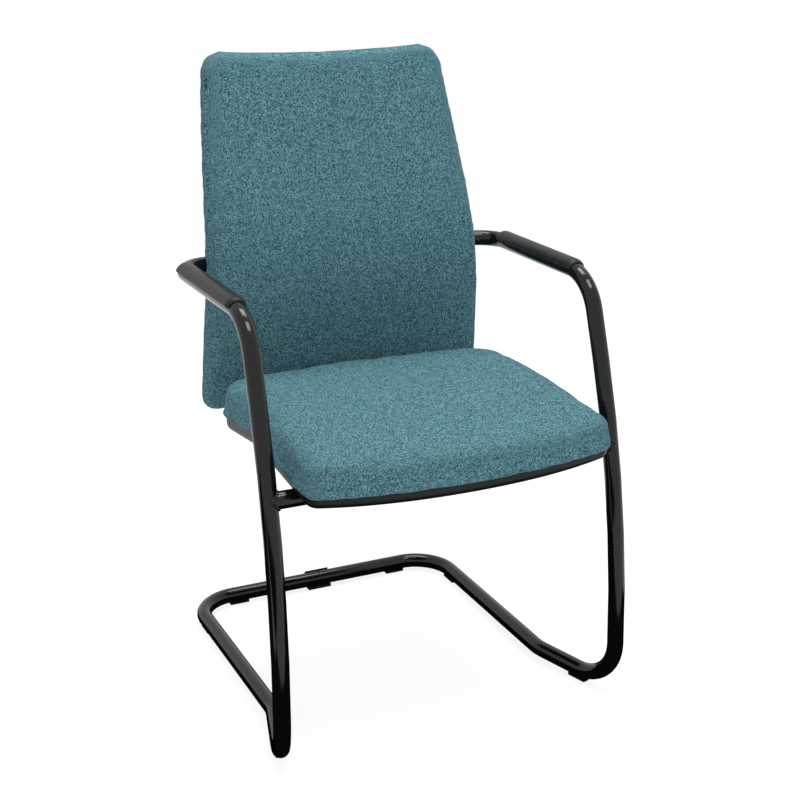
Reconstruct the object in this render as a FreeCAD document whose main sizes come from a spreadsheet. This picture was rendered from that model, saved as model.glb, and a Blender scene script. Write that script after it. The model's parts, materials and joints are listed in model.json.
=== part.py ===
# Sled base visitor chair with arms, as an assembly of separate pieces. Millimetres, +Z up.
# The chair faces -Y and is symmetric about x = 0. The origin is on the floor, under the
# middle of the chair. Left and right are the sitter's, so left is +X.
import FreeCAD
import Part
import math
import os
import re
import Sketcher
from FreeCAD import Placement, Rotation, Vector

doc = FreeCAD.newDocument("visitor_chair")
sheet = doc.addObject("Spreadsheet::Sheet", "Sizes")

# Driving sizes, in millimetres and degrees

SIZES = (
    ("tube_diameter", 25, "outside diameter of every frame tube"),
    ("tube_wall", 2, "wall of the frame tubes"),
    ("seam_gap", 0.5, "seam between the two frame halves"),
    ("glide_height", 4, "floor to the underside of the floor tubes"),
    ("rear_bar_y", 294, "rear floor bar behind the origin"),
    ("rear_half_width", 230, "rear corner of the floor loop"),
    ("kink_half_width", 227.5, "where the floor tube starts to flare out"),
    ("kink_y", -95, "place of that kink"),
    ("foot_half_width", 271, "corner where the floor tube turns up"),
    ("foot_y", -250.5, "place of that corner"),
    ("leg_knee_height", 313.7, "where the upper and lower line of the leg cross"),
    ("leg_curve_radius", 1400, "radius of the long curve in the leg"),
    ("leg_lean", 18, "lean of the upper leg from vertical, degrees"),
    ("arm_height", 641, "axis of the arm above the floor"),
    ("arm_front_half_width", 264, "front corner of the arm"),
    ("arm_rear_half_width", 267, "rear corner of the arm"),
    ("arm_rear_y", 153, "place of the rear corner of the arm"),
    ("back_bar_half", 110, "half length of the straight bar behind the back"),
    ("back_bar_setback", 26.7, "how far that bar lies behind the arm's corner"),
    ("rear_bend", 68, "bend radius at the rear floor corner"),
    ("kink_bend", 80, "bend radius at the kink"),
    ("foot_bend", 72, "bend radius at the foot"),
    ("arm_bend", 72, "bend radius from leg to arm"),
    ("arm_rear_bend", 45, "bend radius behind the arm"),
    ("back_bar_bend", 100, "bend radius beside the back bar"),
    ("fit_gap", 0.3, "gap between pieces that only lie together"),
    ("push_gap", 0.1, "gap around pieces pushed into holes and tubes"),
    ("sleeve_length", 80, "length of a splice sleeve"),
    ("sleeve_wall", 2.5, "wall of a splice sleeve"),
    ("splice_screw_pitch", 24, "distance between the two screws of a splice"),
    ("saddle_length", 42, "length of the saddle foot under the floor splice"),
    ("saddle_wall", 3, "wall of the saddle foot"),
    ("saddle_base_width", 18, "width of the saddle foot on the floor"),
    ("saddle_front_angle", 30, "free angle in front of the saddle's lowest point, degrees"),
    ("saddle_rear_angle", 155, "wrap behind the saddle's lowest point, degrees"),
    ("glide_length", 34, "length of a glide"),
    ("glide_width", 12, "width of a glide"),
    ("glide_lip", 1.5, "how far a glide's sides reach up beside the tube"),
    ("glide_peg_diameter", 6, "peg that holds a glide in the tube"),
    ("glide_peg_length", 6, "length of that peg above the glide's seat"),
    ("rear_glide_x", 149, "rear glides from the middle"),
    ("side_glide_y", 221, "side glides behind the origin"),
    ("front_glide_y", -181, "front glides, ahead of the origin"),
    ("seat_bar_height", 404, "axis of the bar under the seat"),
    ("seat_half_width", 239, "half width of the seat"),
    ("seat_front_y", -308.5, "front of the seat on its middle line"),
    ("seat_back_gap", 12, "gap between seat and backrest on the middle line"),
    ("seat_front_radius", 850, "radius of the bowed front edge in plan"),
    ("seat_rear_radius", 850, "radius of the bowed rear edge in plan"),
    ("seat_front_corner", 27, "radius of the front corners in plan"),
    ("seat_rear_corner", 75, "radius of the rear corners in plan"),
    ("seat_crest_y", -56, "where the seat is highest"),
    ("seat_base_radius", 300, "radius of the underside over the crest"),
    ("seat_top_radius", 900, "radius of the top over the crest"),
    ("seat_thickness", 50, "seat at the crest, on the middle line"),
    ("seat_base_side_rise", 17, "how much higher the underside is at the sides"),
    ("seat_top_side_rise", 11, "how much higher the top is at the sides"),
    ("base_front_slope", 1.5, "underside ahead of the crest, middle line, degrees"),
    ("base_front_side_slope", 6.8, "the same at the sides"),
    ("base_rear_slope", 3.7, "underside behind the crest, middle line, degrees"),
    ("base_rear_side_slope", 7.6, "the same at the sides"),
    ("top_front_slope", 3.1, "top ahead of the crest, middle line, degrees"),
    ("top_front_side_slope", 7.4, "the same at the sides"),
    ("top_rear_slope", 1.5, "top behind the crest, middle line, degrees"),
    ("top_rear_side_slope", 6.3, "the same at the sides"),
    ("seat_top_round", 18, "rounding of the seat's upper edge"),
    ("seat_base_round", 5, "rounding of the seat's lower edge"),
    ("seat_board_thickness", 10, "seat board"),
    ("seat_board_inset", 12, "seat board inside the seat's outline"),
    ("cover_depth", 22, "seat under-cover below the seat in the middle"),
    ("cover_side_depth", 19, "the same at its sides"),
    ("cover_round", 12, "rounding of the cover's lower rim"),
    ("cover_front_slope", 0.5, "bottom of the cover ahead of the crest, middle line, degrees"),
    ("cover_wall", 2.5, "wall of the under-cover"),
    ("cover_inset", 7, "under-cover inside the seat's outline"),
    ("cover_slot_gap", 1.5, "gap around bars that pass through the under-cover"),
    ("cover_boss_diameter", 12, "screw bosses of the under-cover"),
    ("cover_boss_x", 165, "screw bosses from the middle"),
    ("cover_boss_front_y", -150, "front bosses"),
    ("cover_boss_rear_y", 40, "rear bosses"),
    ("back_thickness", 30, "whole backrest on its middle line"),
    ("back_front_radius", 1600, "front of the backrest in plan"),
    ("back_rear_radius", 1350, "rear of the backrest in plan"),
    ("back_bottom", 404, "lower edge of the backrest"),
    ("back_top", 951, "upper edge of the backrest at its corners"),
    ("back_top_dip", 9, "dip of the upper edge in the middle"),
    ("back_bottom_half_width", 240, "half width at the lower edge"),
    ("back_middle_half_width", 227.3, "half width half way up"),
    ("back_top_half_width", 196.5, "half width at the upper edge"),
    ("back_bottom_corner", 28, "radius of the lower corners"),
    ("back_top_corner", 36, "radius of the upper corners"),
    ("lumbar_height", 605, "where the backrest comes furthest forward"),
    ("lumbar_radius", 400, "radius of the lumbar curve"),
    ("back_lean", 16.3, "lean of the backrest above the lumbar curve, degrees"),
    ("back_tuck", 8.5, "slope of the backrest below it, degrees"),
    ("back_front_round", 11, "rounding of the backrest's front edge"),
    ("back_rear_round", 8, "rounding of the backrest's rear edge"),
    ("back_foam", 10, "foam in front of the back board"),
    ("back_board_thickness", 8, "back board"),
    ("back_board_inset", 15, "back board inside the backrest's outline"),
    ("back_bar_groove_gap", 0.5, "gap around the back bar in the backrest"),
    ("spacer_length", 5.6, "back board to back bar on the middle line"),
    ("spacer_diameter", 22, "spacers between back board and back bar"),
    ("tube_bolt_x", 65, "bolts through the back bar from the middle"),
    ("link_x", 70, "connecting bars from the middle"),
    ("link_width", 40, "connecting bar"),
    ("link_thickness", 5, "connecting bar"),
    ("link_nose", 22, "connecting bar ahead of the seat bar's axis"),
    ("link_bend", 15, "bend radius of the connecting bar below the backrest"),
    ("link_rise", 115, "connecting bar above the lower edge of the backrest"),
    ("link_seat_bolt_front", 45, "front seat bolts behind the seat bar's axis"),
    ("link_seat_bolt_pitch", 240, "distance from front to rear seat bolts"),
    ("link_back_bolt_low", 45, "lower back bolts above the backrest's lower edge"),
    ("link_back_bolt_pitch", 50, "distance from lower to upper back bolts"),
    ("bolt_diameter", 6, "bolts of the seat and backrest"),
    ("bolt_head_diameter", 11, "heads of those bolts"),
    ("bolt_head_height", 3.5, "heads of those bolts"),
    ("bolt_socket", 4, "hexagon socket across its flats"),
    ("nut_flange_diameter", 17, "tee nut flange"),
    ("nut_flange_thickness", 1.2, "tee nut flange"),
    ("nut_barrel_diameter", 8, "tee nut barrel"),
    ("nut_barrel_length", 6, "tee nut barrel below its flange"),
    ("screw_diameter", 4, "small screws"),
    ("screw_head_diameter", 8, "heads of the small screws"),
    ("screw_head_height", 2.4, "heads of the small screws"),
    ("arm_pad_wall", 4.2, "wall of the arm pad"),
    ("arm_pad_front", 14, "arm pad ahead of the straight arm, round the front bend"),
    ("arm_pad_rear", 9, "arm pad behind the straight arm, round the rear bend"),
    ("arm_pad_edge", 4, "lower edges of the pad above the tube's axis"),
    ("arm_pad_nose", 3.5, "rounding of the pad's two ends"),
    ("arm_pad_peg_inset", 45, "pegs from the straight tube's ends"),
)

for row, (alias, value, meaning) in enumerate(SIZES, start=1):
    sheet.set(f"A{row}", alias)
    sheet.set(f"B{row}", str(value))
    sheet.set(f"C{row}", meaning)
    sheet.setAlias(f"B{row}", alias)
doc.recompute()


def size(alias):
    return float(sheet.get(alias))


def cells(text):
    """An expression in which every word is a cell of the sheet."""
    return re.sub(r"\b[a-z][a-z_]+\b", r"Sizes.\g<0>", text)


def value(text):
    return float(sheet.evalExpression(cells(text)))


UP = Vector(0, 0, 1)
ACROSS = Vector(1, 0, 0)
BACKWARD = Vector(0, 1, 0)
SIDES = (("left", 1), ("right", -1))
TUBE_R = size("tube_diameter") / 2
FLOOR_Z = size("glide_height") + TUBE_R
ARM_Z = size("arm_height")
LEAN = math.radians(size("leg_lean"))
GAP = size("fit_gap")
PUSH = size("push_gap")
REACH = 2000
PARTS = {}


def node(name, thing):
    """Keep one finished piece under the name of its file."""
    thing.Label = name
    PARTS[name] = thing
    return thing


def feature(name, shape):
    thing = doc.addObject("Part::Feature", name)
    thing.Shape = shape
    return thing


def mirrored(name, source):
    """The same piece on the other side of the chair."""
    other = doc.addObject("Part::Mirroring", name)
    other.Source = source
    other.Normal = ACROSS
    return other


def boolean(kind, name, base, tool):
    result = doc.addObject("Part::" + kind, name)
    result.Base = base
    result.Tool = tool
    return result


def joined(name, things):
    result = doc.addObject("Part::MultiFuse", name)
    result.Shapes = list(things)
    return result


def cut(name, base, *tools):
    """The base without the tools."""
    tool = tools[0] if len(tools) == 1 else joined(name + "_tools", tools)
    return boolean("Cut", name, base, tool)


def cylinder(name, radius, length, start, direction=UP):
    """Cylinder from start along direction. Its radius and length are expressions."""
    rod = doc.addObject("Part::Cylinder", name)
    rod.setExpression("Radius", cells(radius))
    rod.setExpression("Height", cells(length))
    rod.Placement = Placement(start, Rotation(UP, direction))
    return rod


def base_plane(body, role):
    for origin_feature in body.Origin.OriginFeatures:
        if origin_feature.Role == role:
            return origin_feature
    raise LookupError(role)


def outline_sketch(body, role, corners):
    """Closed outline of straight lines. Each corner is a pair of expressions."""
    sketch = body.newObject("Sketcher::SketchObject", body.Name + "_outline")
    sketch.AttachmentSupport = [(base_plane(body, role), "")]
    sketch.MapMode = "FlatFace"
    places = [(value(across), value(up)) for across, up in corners]
    count = len(places)
    for index, (across, up) in enumerate(places):
        following = places[(index + 1) % count]
        line = Part.LineSegment(Vector(across, up, 0), Vector(*following, 0))
        sketch.addGeometry(line, False)
    for index in range(count):
        sketch.addConstraint(Sketcher.Constraint("Coincident", index, 2, (index + 1) % count, 1))
    for index, pair in enumerate(corners):
        for kind, text in zip(("DistanceX", "DistanceY"), pair):
            rule = Sketcher.Constraint(kind, -1, 1, index, 1, value(text))
            number = sketch.addConstraint(rule)
            sketch.setExpression(f"Constraints[{number}]", cells(text))
    return sketch


def turned(name, corners):
    """Body of revolution about Z, from corners given as radius and height."""
    body = doc.addObject("PartDesign::Body", name)
    sketch = outline_sketch(body, "XZ_Plane", corners)
    spin = body.newObject("PartDesign::Revolution", name + "_spin")
    spin.Profile = sketch
    spin.ReferenceAxis = (sketch, ["V_Axis"])
    spin.Angle = 360
    doc.recompute()
    return body


def padded(name, role, corners, length):
    """Body padded to both sides of a base plane, from corners given as expressions."""
    body = doc.addObject("PartDesign::Body", name)
    sketch = outline_sketch(body, role, corners)
    pad = body.newObject("PartDesign::Pad", name + "_pad")
    pad.Profile = sketch
    pad.setExpression("Length", cells(length))
    pad.Midplane = True
    doc.recompute()
    return body


def copies(name, master, places):
    """Separate copies of one small piece, kept together as one group."""
    shapes = []
    for place in places:
        shape = master.Shape.copy()
        shape.Placement = place
        shapes.append(shape)
    return node(name, feature(name, Part.makeCompound(shapes)))


def aimed(point, direction):
    return Placement(point, Rotation(UP, direction))


# Paths of straight runs joined by tangent arcs

def path_edges(corners, radii):
    edges = []
    start = corners[0]
    for index, radius in enumerate(radii, start=1):
        corner = corners[index]
        before = (corners[index - 1] - corner).normalize()
        after = (corners[index + 1] - corner).normalize()
        half = before.getAngle(after) / 2
        first = corner + before * (radius / math.tan(half))
        last = corner + after * (radius / math.tan(half))
        inward = (before + after).normalize()
        middle = corner + inward * (radius / math.sin(half) - radius)
        edges.append(Part.LineSegment(start, first).toShape())
        edges.append(Part.Arc(first, middle, last).toShape())
        start = last
    edges.append(Part.LineSegment(start, corners[-1]).toShape())
    return edges


def swept(name, spine, section):
    sweep = doc.addObject("Part::Sweep", name)
    sweep.Sections = [section]
    count = len(spine.Shape.Edges)
    sweep.Spine = (spine, [f"Edge{number}" for number in range(1, count + 1)])
    sweep.Solid = True
    sweep.Frenet = False
    return sweep


def ring(name, radius, place):
    circle = doc.addObject("Part::Circle", name)
    circle.setExpression("Radius", cells(radius))
    circle.Placement = place
    return circle


# Frame: one bent tube in two halves, joined by sleeves at the floor and behind the back

def leg_x(height):
    """Half width of the leg, which comes in slightly towards the arm."""
    rise = (height - FLOOR_Z) / (ARM_Z - FLOOR_Z)
    return size("foot_half_width") + rise * (size("arm_front_half_width") - size("foot_half_width"))


KNEE_Z = size("leg_knee_height")
ARM_FRONT_Y = size("foot_y") + (ARM_Z - KNEE_Z) * math.tan(LEAN)
BACK_BAR_Y = size("arm_rear_y") + size("back_bar_setback")
FRAME_CORNERS = (
    Vector(size("seam_gap") / 2, size("rear_bar_y"), FLOOR_Z),
    Vector(size("rear_half_width"), size("rear_bar_y"), FLOOR_Z),
    Vector(size("kink_half_width"), size("kink_y"), FLOOR_Z),
    Vector(size("foot_half_width"), size("foot_y"), FLOOR_Z),
    Vector(leg_x(KNEE_Z), size("foot_y"), KNEE_Z),
    Vector(size("arm_front_half_width"), ARM_FRONT_Y, ARM_Z),
    Vector(size("arm_rear_half_width"), size("arm_rear_y"), ARM_Z),
    Vector(size("back_bar_half"), BACK_BAR_Y, ARM_Z),
    Vector(size("seam_gap") / 2, BACK_BAR_Y, ARM_Z),
)
FRAME_RADII = [size(alias) for alias in (
    "rear_bend", "kink_bend", "foot_bend", "leg_curve_radius",
    "arm_bend", "arm_rear_bend", "back_bar_bend",
)]
frame_path = feature("frame_path", Part.Wire(path_edges(FRAME_CORNERS, FRAME_RADII)))
start_place = aimed(FRAME_CORNERS[0], ACROSS)
outer_ring = ring("tube_outside", "tube_diameter / 2", start_place)
inner_ring = ring("tube_inside", "tube_diameter / 2 - tube_wall", start_place)
groove_ring = ring("tube_groove", "tube_diameter / 2 + back_bar_groove_gap", start_place)
weld_ring = ring("tube_weld", "tube_diameter / 2 + push_gap", start_place)
frame_solid = swept("frame_solid", frame_path, outer_ring)
frame_bore = swept("frame_bore", frame_path, inner_ring)
groove = swept("frame_groove", frame_path, groove_ring)
weld_clearance = swept("frame_weld_clearance", frame_path, weld_ring)
doc.recompute()
groove_other = mirrored("frame_groove_other", groove)
weld_clearance_other = mirrored("frame_weld_clearance_other", weld_clearance)


def leg_axis_y(height):
    """The leg's axis in side view, on the long curve above the foot."""
    radius = size("leg_curve_radius")
    start = KNEE_Z - radius * math.tan(LEAN / 2)
    return size("foot_y") + radius - math.sqrt(radius ** 2 - (height - start) ** 2)


SEAT_BAR_Z = size("seat_bar_height")
SEAT_BAR_Y = leg_axis_y(SEAT_BAR_Z)

# Glides: their places on the floor tubes, and the tube's direction there

KINK = FRAME_CORNERS[2]
FOOT = FRAME_CORNERS[3]
flare = (FOOT - KINK).normalize()
flare_share = (size("front_glide_y") - KINK.y) / (FOOT.y - KINK.y)
side_line = (FRAME_CORNERS[1] - KINK).normalize()
side_share = (size("side_glide_y") - KINK.y) / (FRAME_CORNERS[1].y - KINK.y)
GLIDE_PLACES = {
    "rear": (Vector(size("rear_glide_x"), size("rear_bar_y"), 0), ACROSS),
    "side": (KINK + (FRAME_CORNERS[1] - KINK) * side_share, side_line),
    "front": (KINK + (FOOT - KINK) * flare_share, flare),
}

glide_block = padded("glide_block", "XY_Plane", (
    ("-glide_length / 2", "-glide_width / 2"),
    ("glide_length / 2", "-glide_width / 2"),
    ("glide_length / 2", "glide_width / 2"),
    ("-glide_length / 2", "glide_width / 2"),
), "2 * (glide_height + glide_lip)")
glide_pad = glide_block.Tip
glide_round = glide_block.newObject("PartDesign::Fillet", "glide_round")
glide_round.Base = (glide_pad, [
    f"Edge{number}" for number, edge in enumerate(glide_pad.Shape.Edges, start=1)
    if abs(edge.tangentAt(edge.FirstParameter).z) > 0.9
])
glide_round.setExpression("Radius", cells("glide_width / 12"))
doc.recompute()

peg_holes = []
for label, (place, along) in GLIDE_PLACES.items():
    floor_place = Vector(place.x, place.y, 0)
    block = feature(f"glide_{label}_block", glide_block.Shape.copy())
    block.Placement = Placement(floor_place, Rotation(ACROSS, along))
    under = cylinder(f"glide_{label}_floor", "glide_length", "tube_diameter", floor_place, UP * -1)
    body = cut(f"glide_{label}_body", block, under, weld_clearance)
    peg_start = Vector(place.x, place.y, size("glide_height") / 2)
    peg = cylinder(
        f"glide_{label}_peg", "glide_peg_diameter / 2",
        "glide_height / 2 + glide_peg_length", peg_start)
    left = node(f"glide_{label}_left", joined(f"glide_{label}_left", (body, peg)))
    node(f"glide_{label}_right", mirrored(f"glide_{label}_right", left))
    peg_holes.append(cylinder(
        f"glide_{label}_hole", "glide_peg_diameter / 2 + push_gap", "tube_diameter / 2", floor_place))

# Arm pads: their pegs stand in holes in the top of the arms

ARM_FRONT = FRAME_CORNERS[5]
ARM_REAR = FRAME_CORNERS[6]
arm_line = (ARM_REAR - ARM_FRONT).normalize()
arm_turn = math.pi / 2 - LEAN
ARM_REAR_TURN = 80
arm_start = size("arm_bend") * math.tan(arm_turn / 2)
arm_end = size("arm_rear_bend") * math.tan(math.radians(ARM_REAR_TURN) / 2)
PAD_PEGS = (
    ARM_FRONT + arm_line * (arm_start + size("arm_pad_peg_inset")),
    ARM_REAR - arm_line * (arm_end + size("arm_pad_peg_inset")),
)
for number, place in enumerate(PAD_PEGS, start=1):
    peg_holes.append(cylinder(
        f"arm_peg_hole_{number}", "glide_peg_diameter / 2 + push_gap", "tube_diameter", place))

# Holes for the bolts through the back bar and the screws of the floor splice

BOLT_REAR_Y = BACK_BAR_Y + TUBE_R
peg_holes.append(cylinder(
    "back_bar_bolt_hole", "bolt_diameter / 2 + push_gap", "2 * tube_diameter",
    Vector(size("tube_bolt_x"), BOLT_REAR_Y + TUBE_R, ARM_Z), BACKWARD * -1))
SPLICE_X = size("splice_screw_pitch") / 2
peg_holes.append(cylinder(
    "splice_screw_hole", "screw_diameter / 2 + push_gap", "tube_diameter / 2",
    Vector(SPLICE_X, size("rear_bar_y"), FLOOR_Z), UP * -1))
frame_left = cut("frame_half_left", frame_solid, frame_bore, *peg_holes)
node("frame_half_left", frame_left)
node("frame_half_right", mirrored("frame_half_right", frame_left))
doc.recompute()

# Sleeves inside the two seams

def sleeve(name, centre, holes):
    outside = cylinder(
        name + "_outside", "tube_diameter / 2 - tube_wall - push_gap", "sleeve_length",
        centre - ACROSS * (size("sleeve_length") / 2), ACROSS)
    inside = cylinder(
        name + "_inside", "tube_diameter / 2 - tube_wall - push_gap - sleeve_wall", "2 * sleeve_length",
        centre - ACROSS * size("sleeve_length"), ACROSS)
    return node(name, cut(name, outside, inside, *holes))


floor_seam = Vector(0, size("rear_bar_y"), FLOOR_Z)
splice_screw_places = [floor_seam + ACROSS * (SPLICE_X * side) for _, side in SIDES]
sleeve("floor_splice_sleeve", floor_seam, [
    cylinder(f"sleeve_hole_{number}", "screw_diameter / 2 + push_gap", "tube_diameter", place, UP * -1)
    for number, place in enumerate(splice_screw_places, start=1)
])
sleeve("back_splice_sleeve", Vector(0, BACK_BAR_Y, ARM_Z), [])

small_screw = turned("small_screw", (
    ("0", "0"),
    ("screw_head_diameter / 2", "0"),
    ("screw_head_diameter / 2", "screw_head_height / 3"),
    ("screw_diameter / 2", "screw_head_height"),
    ("screw_diameter / 2", "screw_head_height + tube_diameter / 2"),
    ("0", "screw_head_height + tube_diameter / 2"),
))


def socket_bolt(name, length):
    """Bolt with a rounded head and a hexagon socket, head first from its origin."""
    return turned(name, (
        ("bolt_socket / 2", "0"),
        ("bolt_head_diameter / 2 - bolt_head_height / 2", "0"),
        ("bolt_head_diameter / 2", "bolt_head_height / 2"),
        ("bolt_head_diameter / 2", "bolt_head_height"),
        ("bolt_diameter / 2", "bolt_head_height"),
        ("bolt_diameter / 2", f"bolt_head_height + {length}"),
        ("0", f"bolt_head_height + {length}"),
        ("0", "bolt_head_height / 2"),
        ("bolt_socket / 2", "bolt_head_height / 2"),
    ))


tee_nut = turned("tee_nut", (
    ("bolt_diameter / 2 + push_gap", "-nut_barrel_length"),
    ("nut_barrel_diameter / 2", "-nut_barrel_length"),
    ("nut_barrel_diameter / 2", "0"),
    ("nut_flange_diameter / 2", "0"),
    ("nut_flange_diameter / 2", "nut_flange_thickness"),
    ("bolt_diameter / 2 + push_gap", "nut_flange_thickness"),
))


def nut_pocket(name, place, direction):
    """Hole for a tee nut's barrel and recess for its flange. The place is the flange's seat."""
    hole = cylinder(
        name + "_hole", "nut_barrel_diameter / 2 + push_gap", "4 * nut_barrel_length",
        place - direction * (3 * size("nut_barrel_length")), direction)
    recess = cylinder(
        name + "_recess", "nut_flange_diameter / 2 + push_gap", "nut_barrel_length", place, direction)
    return joined(name, (hole, recess))


splice_screw_seat = size("glide_height") - size("screw_head_height")
copies("floor_splice_screws", small_screw, [
    aimed(Vector(place.x, place.y, splice_screw_seat), UP) for place in splice_screw_places
])

# Saddle foot, clipped around the floor splice from behind


def around_bar(radius, degrees):
    """Point at an angle behind the lowest point of the rear floor bar."""
    angle = math.radians(degrees)
    return Vector(
        -size("saddle_length") / 2, size("rear_bar_y") + radius * math.sin(angle),
        FLOOR_Z - radius * math.cos(angle))


saddle_inner = TUBE_R + PUSH
saddle_outer = saddle_inner + size("saddle_wall")
first_angle = -size("saddle_front_angle")
last_angle = size("saddle_rear_angle")
middle_angle = (first_angle + last_angle) / 2
clip_outline = Part.Wire([
    Part.Arc(*(around_bar(saddle_inner, a) for a in (first_angle, middle_angle, last_angle))).toShape(),
    Part.LineSegment(around_bar(saddle_inner, last_angle), around_bar(saddle_outer, last_angle)).toShape(),
    Part.Arc(*(around_bar(saddle_outer, a) for a in (last_angle, middle_angle, first_angle))).toShape(),
    Part.LineSegment(around_bar(saddle_outer, first_angle), around_bar(saddle_inner, first_angle)).toShape(),
])
clip = feature("saddle_clip", Part.Face(clip_outline).extrude(ACROSS * size("saddle_length")))
foot_block = doc.addObject("Part::Box", "saddle_block")
foot_block.setExpression("Length", cells("saddle_length"))
foot_block.setExpression("Width", cells("saddle_base_width"))
foot_block.setExpression("Height", cells("glide_height + glide_lip"))
foot_block.Placement = Placement(Vector(
    -size("saddle_length") / 2, size("rear_bar_y") - size("saddle_base_width") / 2, 0), Rotation())
bar_space = cylinder(
    "saddle_bar_space", "tube_diameter / 2 + push_gap", "2 * saddle_length",
    floor_seam - ACROSS * size("saddle_length"), ACROSS)
head_recesses = [
    cylinder(f"saddle_recess_{number}", "screw_head_diameter / 2 + fit_gap", "tube_diameter / 2",
             Vector(place.x, place.y, splice_screw_seat - GAP))
    for number, place in enumerate(splice_screw_places, start=1)
]
saddle = joined("saddle_whole", (clip, foot_block))
node("splice_foot", cut("splice_foot", saddle, bar_space, *head_recesses))

# Arm pads: a cap over the upper half of each arm, with rounded ends

pad_inner = TUBE_R + PUSH
pad_outer = pad_inner + size("arm_pad_wall")
pad_edge = size("arm_pad_edge")
front_bend, arm_run, rear_bend = frame_path.Shape.Edges[9:12]
front_span = size("arm_pad_front") / size("arm_bend")
rear_span = size("arm_pad_rear") / size("arm_rear_bend")
pad_path = feature("arm_pad_path", Part.Wire([
    front_bend.Curve.toShape(front_bend.LastParameter - front_span, front_bend.LastParameter),
    arm_run,
    rear_bend.Curve.toShape(rear_bend.FirstParameter, rear_bend.FirstParameter + rear_span),
]))
first_edge, last_edge = pad_path.Shape.Edges[0], pad_path.Shape.Edges[-1]
pad_start = first_edge.valueAt(first_edge.FirstParameter)
pad_heading = first_edge.tangentAt(first_edge.FirstParameter)
pad_end = last_edge.valueAt(last_edge.LastParameter)
pad_end_heading = last_edge.tangentAt(last_edge.LastParameter)
pad_side = pad_heading.cross(UP).normalize()
pad_up = pad_side.cross(pad_heading).normalize()


def cap_arc(radius):
    """Arc over the tube, and its two ends at the height of the cap's lower edges."""
    reach = math.sqrt(radius ** 2 - pad_edge ** 2)
    ends = [pad_start + pad_side * across + pad_up * pad_edge for across in (reach, -reach)]
    return Part.Arc(ends[0], pad_start + pad_up * radius, ends[1]).toShape(), ends


outer_arc, outer_ends = cap_arc(pad_outer)
inner_arc, inner_ends = cap_arc(pad_inner)
pad_outline = feature("arm_pad_outline", Part.Wire(Part.sortEdges([
    outer_arc,
    inner_arc,
    Part.LineSegment(outer_ends[0], inner_ends[0]).toShape(),
    Part.LineSegment(outer_ends[1], inner_ends[1]).toShape(),
])[0]))
pad_channel = swept("arm_pad_channel", pad_path, pad_outline)
doc.recompute()


def at_mouth(edge):
    """True for the outer edge of one of the cap's two ends."""
    middle = edge.valueAt((edge.FirstParameter + edge.LastParameter) / 2)
    return any(
        abs((middle - end).dot(heading)) < PUSH and abs((middle - end).Length - pad_outer) < PUSH
        for end, heading in ((pad_start, pad_heading), (pad_end, pad_end_heading))
    )


pad_rounded = doc.addObject("Part::Fillet", "arm_pad_rounded")
pad_rounded.Base = pad_channel
pad_rounded.Edges = [
    (number, size("arm_pad_nose"), size("arm_pad_nose"))
    for number, edge in enumerate(pad_channel.Shape.Edges, start=1) if at_mouth(edge)
]
peg_top = TUBE_R + PUSH + size("arm_pad_wall") / 2
peg_bottom = peg_top - size("tube_wall") - size("glide_peg_length") / 2
pad_pegs = [
    cylinder(f"arm_pad_peg_{number}", "glide_peg_diameter / 2",
             "tube_wall + glide_peg_length / 2", place + UP * peg_bottom)
    for number, place in enumerate(PAD_PEGS, start=1)
]
pad_left = node("arm_pad_left", joined("arm_pad_left", [pad_rounded] + pad_pegs))
node("arm_pad_right", mirrored("arm_pad_right", pad_left))

# Bar under the seat, coped to the legs

seat_bar_half = leg_x(SEAT_BAR_Z)
bar_start = Vector(-seat_bar_half, SEAT_BAR_Y, SEAT_BAR_Z)


def seat_bar_rod(name, radius):
    rod = doc.addObject("Part::Cylinder", name)
    rod.setExpression("Radius", cells(radius))
    rod.Height = 2 * seat_bar_half
    rod.Placement = Placement(bar_start, Rotation(UP, ACROSS))
    return rod


bar_outside = seat_bar_rod("seat_bar_outside", "tube_diameter / 2")
bar_inside = seat_bar_rod("seat_bar_inside", "tube_diameter / 2 - tube_wall")
bar_clear = seat_bar_rod("seat_bar_clear", "tube_diameter / 2 + cover_slot_gap")
node("seat_crossbar", cut("seat_crossbar", bar_outside, bar_inside, weld_clearance, weld_clearance_other))

# Seat and backrest are built in layers between curved faces. Each face is a profile of
# straight, arc, straight in side view, which changes smoothly across the width.

STATIONS = (-1, -0.5, 0, 0.5, 1)


def layer(name, half_width, faces_at):
    """Solid between two faces. faces_at(x) gives both profiles as corners and a radius."""
    wires = []
    for station in STATIONS:
        x = station * half_width
        first, second = [
            path_edges([Vector(x, y, z) for y, z in corners], [radius])
            for corners, radius in faces_at(x)
        ]
        ends = [(run[0].Vertexes[0].Point, run[-1].Vertexes[-1].Point) for run in (first, second)]
        wires.append(Part.Wire(Part.sortEdges(first + second + [
            Part.LineSegment(ends[0][0], ends[1][0]).toShape(),
            Part.LineSegment(ends[0][1], ends[1][1]).toShape(),
        ])[0]))
    return feature(name, Part.makeLoft(wires, True, False))


def between(middle, side, x, half_width):
    return middle + (side - middle) * (x / half_width) ** 2


SEAT_HALF = size("seat_half_width")
CREST_Y = size("seat_crest_y")
LINK_OUTER_X = size("link_x") + size("link_width") / 2


def seat_slopes(kind, x):
    """Front and rear slope of the seat's base or top, as tangents."""
    front = between(size(kind + "_front_slope"), size(kind + "_front_side_slope"), x, SEAT_HALF)
    rear = between(size(kind + "_rear_slope"), size(kind + "_rear_side_slope"), x, SEAT_HALF)
    return math.tan(math.radians(front)), math.tan(math.radians(rear))


def crest_peak(radius, front, rear):
    """How far the arc over the crest stays below the corner of its two slopes."""
    return radius / math.cos((math.atan(front) + math.atan(rear)) / 2) - radius


def base_crest(x):
    """Height of the underside's crest above that on the middle line."""
    return between(0, size("seat_base_side_rise"), x, SEAT_HALF)


def base_corner(x):
    front, rear = seat_slopes("base", x)
    return base_crest(x) + crest_peak(size("seat_base_radius"), front, rear)


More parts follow.
